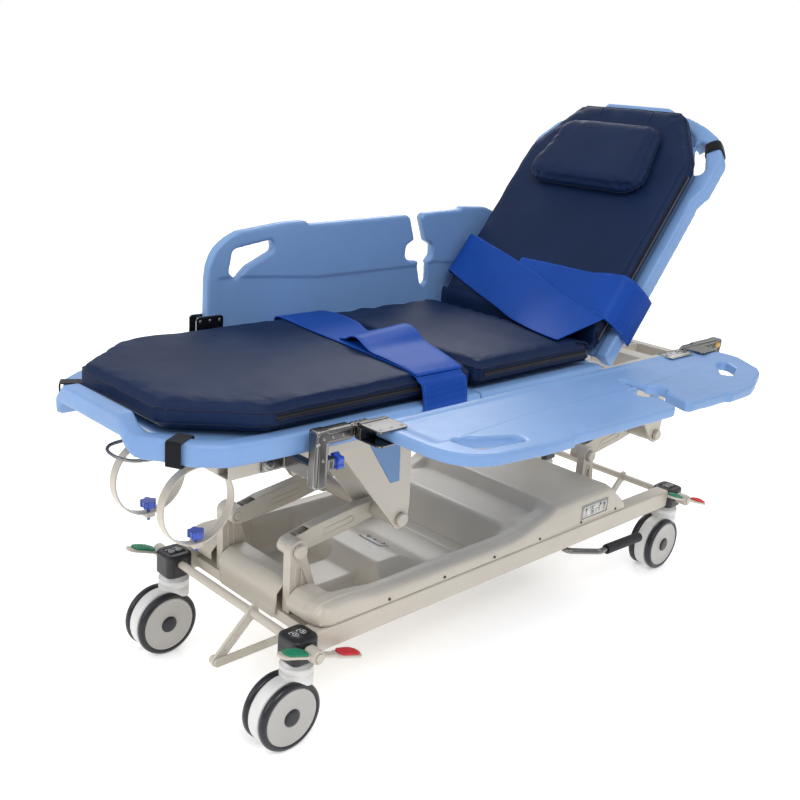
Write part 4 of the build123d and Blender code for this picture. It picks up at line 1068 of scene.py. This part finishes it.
def gusset():
    """Creased cover fabric that fills the fold between seat and back cushions."""
    profile = [at(118, 0, 879), at(150, 0, 876), at(170, 0, 862), at(183, 0, 858), on_back(40, 0, 52),
               on_back(66, 0, 74), on_back(84, 0, 81)]
    path = curve(profile, 4)
    count = 64
    points = []
    for i, p in enumerate(path):
        share = i / (len(path) - 1)
        for k in range(count + 1):
            y = (-292 + 584 * k / count) * UNIT
            crease = noise.noise(Vector((k * 0.35, i * 0.25, 5.0))) * math.sin(math.pi * share)
            points.append(Vector((p.x, y, p.z + crease * 9 * UNIT)))
    fold = sheet(points, quads(len(path), count + 1), 3)
    piece = add("seat_back_gusset", fold, "navy_fabric", None)
    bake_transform(piece)


gusset()


# ---- restraint straps ----
def ribbon(rows, thickness=2.6, steps=6, across=10, trees=(), up=(0, 0, 1), gap=2.5):
    """Strap through rows of edge points, kept clear of the skins under it; also its two hems."""
    up = Vector(up)
    left = curve([r[0] for r in rows], steps)
    right = curve([r[1] for r in rows], steps)
    grid = []
    for a, b in zip(left, right):
        line = []
        for k in range(across + 1):
            p = a.lerp(b, k / across)
            for tree in trees:
                hit = tree.ray_cast(p + up * 0.05, -up, 0.09)[0]
                if hit:
                    p += up * max(0, (hit - p).dot(up) + gap * UNIT)
            line.append(p)
        grid.append(line)
    flat = mesh_of([p for line in grid for p in line], quads(len(grid), across + 1))
    cloth = evaluated(
        flat,
        [
            ("SMOOTH", {"factor": 0.5, "iterations": 2}),
            ("SOLIDIFY", {"thickness": thickness * UNIT, "offset": 0.0}),
            ("BEVEL", {"width": 0.6 * UNIT, "segments": 2}),
        ],
    )
    hems = [
        [line[1].lerp(line[0], 0.4) for line in grid],
        [line[-2].lerp(line[-1], 0.4) for line in grid],
    ]
    return cloth, hems


def stitches(tree, path, length=4.2, gap=2.6):
    """Run of short threads laid on a strap."""
    threads = []
    done = 0.0
    for a, b in zip(path, path[1:]):
        span = (b - a).length / UNIT
        if span < 0.5:
            continue
        while done < span:
            p = a.lerp(b, done / span)
            q = a.lerp(b, min(1, (done + length) / span))
            ends = laid(tree, [p, q], 0.25)
            if (ends[1] - ends[0]).length > 0.5 * UNIT:
                threads.append(tube(ends, 0.75, 5))
            done += length + gap
        done -= span
    return joined(threads)


def strap(name, body, replaced, rows, ends=(), **settings):
    """Webbing strap with stitched hems; ends lists further rows of stitches across it."""
    cloth, hems = ribbon(rows, **settings)
    piece = add(name, cloth, "royal_webbing", body, replaced)
    tree = surface(piece)
    runs = [stitches(tree, hem) for hem in hems]
    for row in ends:
        a, b = row
        runs.append(stitches(tree, [a.lerp(b, k / 8) for k in range(9)]))
    add(name + "_stitching", joined(runs), "royal_webbing", body, material=STITCH)
    return piece


seat_tree = surface(leg_mattress, seat_mattress)
LEG_STRAP = [
    ((-518, -330, 778), (-366, -330, 782)),
    ((-518, -329, 808), (-364, -329, 812)),
    ((-516, -316, 856), (-362, -318, 860)),
    ((-520, -306, 868), (-366, -308, 868)),
    ((-520, -286, 879), (-362, -288, 879)),
    ((-514, -190, 886), (-330, -190, 886)),
    ((-506, -125, 886), (-308, -120, 887)),
    ((-502, -75, 886), (-318, -70, 908)),
    ((-496, -25, 887), (-345, -20, 900)),
    ((-490, 40, 887), (-342, 50, 887)),
    ((-480, 130, 886), (-306, 130, 889)),
    ((-470, 220, 886), (-288, 220, 889)),
    ((-464, 290, 886), (-300, 290, 887)),
    ((-462, 308, 870), (-304, 308, 870)),
    ((-462, 326, 806), (-306, 326, 806)),
]
leg_rows = [(at(*a), at(*b)) for a, b in LEG_STRAP]
leg_restraint = strap("leg_restraint", "deck", ["leg_strap"], leg_rows, trees=[seat_tree])
LEG_LAP = [
    ((-519, -300, 877), (-363, -302, 878)),
    ((-519, -286, 884), (-361, -288, 885)),
    ((-512, -190, 892), (-328, -190, 893)),
    ((-506, -130, 893), (-306, -124, 896)),
    ((-500, -92, 903), (-300, -84, 915)),
    ((-494, -62, 912), (-300, -52, 924)),
    ((-489, -34, 908), (-306, -24, 917)),
    ((-484, -8, 896), (-314, 4, 902)),
    ((-478, 20, 892), (-322, 34, 894)),
]
lap_rows = [(at(*a), at(*b)) for a, b in LEG_LAP]
strap("leg_restraint_lap", "deck", (), lap_rows, trees=[surface(leg_restraint)], gap=2.8,
      ends=[(at(-516, -292, 884), at(-362, -294, 884)), (at(-480, 12, 894), at(-320, 24, 896))])


def ear_band():
    """Hook-and-loop band wound round the hand hold at the right ear of the back deck."""
    tree = surface(bpy.data.objects["back_deck_moulding"])
    across, along = Vector((0.536, -0.844, 0)), Vector((0.844, 0.536, 0))
    turn = TO_BACK.to_3x3()
    off_face = turn @ Vector((0, 0, 1))
    over, under = on_back(750, -290, 150), on_back(750, -290, -150)
    middle = (tree.ray_cast(over, -off_face)[0] + tree.ray_cast(under, off_face)[0]) / 2
    rows, cols, reach = 7, 28, 46 * UNIT
    points = []
    for k in range(rows):
        start = middle + turn @ along * (k - 3) * 6.5 * UNIT
        for i in range(cols):
            angle = 2 * math.pi * i / cols
            ray = turn @ (across * math.cos(angle) * 1.3 + Vector((0, 0, 1)) * math.sin(angle))
            ray.normalize()
            hit = tree.ray_cast(start + ray * reach, -ray, reach)[0] or start + ray * 20 * UNIT
            points.append(hit + ray * 2.2 * UNIT)
    sleeve = evaluated(
        mesh_of(points, quads(rows, cols, round_cols=True)),
        [("SMOOTH", {"factor": 0.5, "iterations": 3}), ("SOLIDIFY", {"thickness": 2.4 * UNIT})],
    )
    add("back_ear_band", sleeve, "black_webbing", "back")


ear_band()

BACK_UP = (TO_BACK.to_3x3() @ Vector((0, 0, 1))).normalized()
BACK_PANEL = [
    ((150, 74, 84), (238, 70, 84)),
    ((130, -57, 84), (240, -57, 84)),
    ((114, -199, 84), (240, -199, 84)),
    ((108, -276, 85), (250, -276, 85)),
    ((106, -300, 80), (252, -300, 80)),
    ((104, -316, 52), (252, -318, 52)),
    ((100, -328, 8), (251, -329, 8)),
    ((96, -331, -42), (250, -331, -42)),
]
panel_rows = [(on_back(*a), on_back(*b)) for a, b in BACK_PANEL]
back_panel = strap("back_restraint_panel", "back", ["back_strap"], panel_rows, trees=[back_tree],
                   up=BACK_UP)
lap_rows = [
    (on_back(s, y, t + 3.4), on_back(e, f, g + 3.4))
    for (s, y, t), (e, f, g) in BACK_PANEL[2:5]
]
lap_rows.append((on_back(104, -320.5, 52), on_back(252, -322.5, 52)))
strap("back_restraint_lap", "back", (), lap_rows, trees=[back_tree], up=BACK_UP, gap=6.0,
      ends=[(on_back(118, -206, 90), on_back(238, -206, 90))])


def over_fold(w, y, lift=0.0):
    """Point on the faces of seat (w below 0) and back (w above 0), bridging the fold between them."""
    gap = 22
    seat_edge = at(147, y, SKIN + lift)
    back_edge = on_back(68, y, 86 + lift)
    if w < -gap:
        return seat_edge + Vector(((w + gap) * UNIT, 0, 0))
    if w > gap:
        return on_back(68 + w - gap, y, 86 + lift)
    return seat_edge.lerp(back_edge, (w + gap) / (2 * gap))


BAND = [
    ((90, 296), (232, 286)),
    ((68, 235), (212, 205)),
    ((34, 130), (190, 120)),
    ((6, 50), (170, 50)),
    ((-28, -20), (148, -28)),
    ((-62, -85), (114, -112)),
    ((-98, -170), (86, -205)),
    ((-117, -240), (66, -280)),
    ((-122, -270), (60, -306)),
]
band_rows = [
    (on_back(158, 331, -30), on_back(292, 331, -30)),
    (on_back(150, 330, 20), on_back(286, 330, 20)),
    (on_back(140, 314, 66), on_back(280, 314, 66)),
] + [(over_fold(*a, 4), over_fold(*b, 5)) for a, b in BAND]
band_sheet, band_hems = ribbon(band_rows, across=16, trees=[surface(back_mattress, back_panel)],
                               up=BACK_UP)
band = add("back_restraint_band", band_sheet, "royal_webbing", None)
band_tree = surface(band)
band_threads = add("back_restraint_band_stitching",
                   joined([stitches(band_tree, hem) for hem in band_hems]), "royal_webbing", None,
                   material=STITCH)
for piece in (band, band_threads):
    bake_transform(piece)

# ---- floor, light and camera ----
def floor():
    """Pale sheet that runs off to the horizon, bright enough to read as paper white."""
    mesh = bpy.data.meshes.new("floor")
    size = 60
    mesh.from_pydata([(-size, -size, 0), (size, -size, 0), (size, size, 0), (-size, size, 0)], [],
                     [(0, 1, 2, 3)])
    ground = bpy.data.objects.new("floor", mesh)
    bpy.context.scene.collection.objects.link(ground)
    paper = hard("floor_paper", srgb(250, 250, 250), 0.9, spread=0.003, bump=0.01)
    shader = paper.node_tree.nodes["Principled BSDF"]
    shader.inputs["Emission Color"].default_value = (1, 1, 1, 1)
    shader.inputs["Emission Strength"].default_value = 0.32
    shader.inputs["Specular IOR Level"].default_value = 0.0
    give(ground, paper)


def area_light(name, place, target, size, power):
    lamp = bpy.data.lights.new(name, "AREA")
    lamp.shape = "DISK"
    lamp.size = size
    lamp.energy = power
    made = bpy.data.objects.new(name, lamp)
    bpy.context.scene.collection.objects.link(made)
    made.location = place
    aim = Vector(target) - Vector(place)
    made.rotation_euler = aim.to_track_quat("-Z", "Y").to_euler()


def studio():
    """White backdrop for the camera; for light and reflections a tent that darkens at the horizon."""
    world = bpy.data.worlds.new("studio")
    world.use_nodes = True
    tree = world.node_tree
    link = tree.links.new
    seen = tree.nodes["Background"]
    seen.inputs["Color"].default_value = (1, 1, 1, 1)
    seen.inputs["Strength"].default_value = 1.0
    split = tree.nodes.new("ShaderNodeSeparateXYZ")
    link(tree.nodes.new("ShaderNodeTexCoord").outputs["Generated"], split.inputs[0])
    ramp = tree.nodes.new("ShaderNodeValToRGB")
    for position, level in ((0.0, 0.8), (0.04, 0.26), (0.16, 0.42), (0.34, 0.95), (0.8, 1.0)):
        stop = ramp.color_ramp.elements.new(position)
        stop.color = (level, level, level * 1.01, 1)
    link(split.outputs["Z"], ramp.inputs["Fac"])
    tent = tree.nodes.new("ShaderNodeBackground")
    tent.inputs["Strength"].default_value = 0.95
    link(ramp.outputs["Color"], tent.inputs["Color"])
    choose = tree.nodes.new("ShaderNodeMixShader")
    link(tree.nodes.new("ShaderNodeLightPath").outputs["Is Camera Ray"], choose.inputs["Fac"])
    link(tent.outputs[0], choose.inputs[1])
    link(seen.outputs[0], choose.inputs[2])
    link(choose.outputs[0], tree.nodes["World Output"].inputs["Surface"])
    bpy.context.scene.world = world
    middle = (0, 0, 0.6)
    area_light("key", (-1.6, -2.4, 3.4), middle, 1.6, 50)
    area_light("fill", (-3.4, 0.9, 1.9), middle, 2.2, 22)
    area_light("back", (2.4, 2.6, 3.0), middle, 1.8, 40)
    bpy.context.scene.view_settings.view_transform = "Standard"


def camera():
    """View from beyond the foot end on the right side, a little above the mattress."""
    heading, tilt, roll = (math.radians(a) for a in (44.72, -18.47, 4.36))
    forward = Vector(
        (math.cos(tilt) * math.sin(heading), math.cos(tilt) * math.cos(heading), math.sin(tilt))
    )
    level = Vector((math.cos(heading), -math.sin(heading), 0))
    upward = level.cross(forward)
    right = level * math.cos(roll) + upward * math.sin(roll)
    top = upward * math.cos(roll) - level * math.sin(roll)
    data = bpy.data.cameras.new("camera")
    data.lens = 45.6
    data.sensor_width = 36
    data.shift_x = 0.026
    data.shift_y = 0.0213
    made = bpy.data.objects.new("camera", data)
    bpy.context.scene.collection.objects.link(made)
    turn = Matrix((right, top, -forward)).transposed().to_4x4()
    made.matrix_world = Matrix.Translation(at(-2145, -1832, 1521)) @ turn
    bpy.context.scene.camera = made


floor()
studio()
camera()
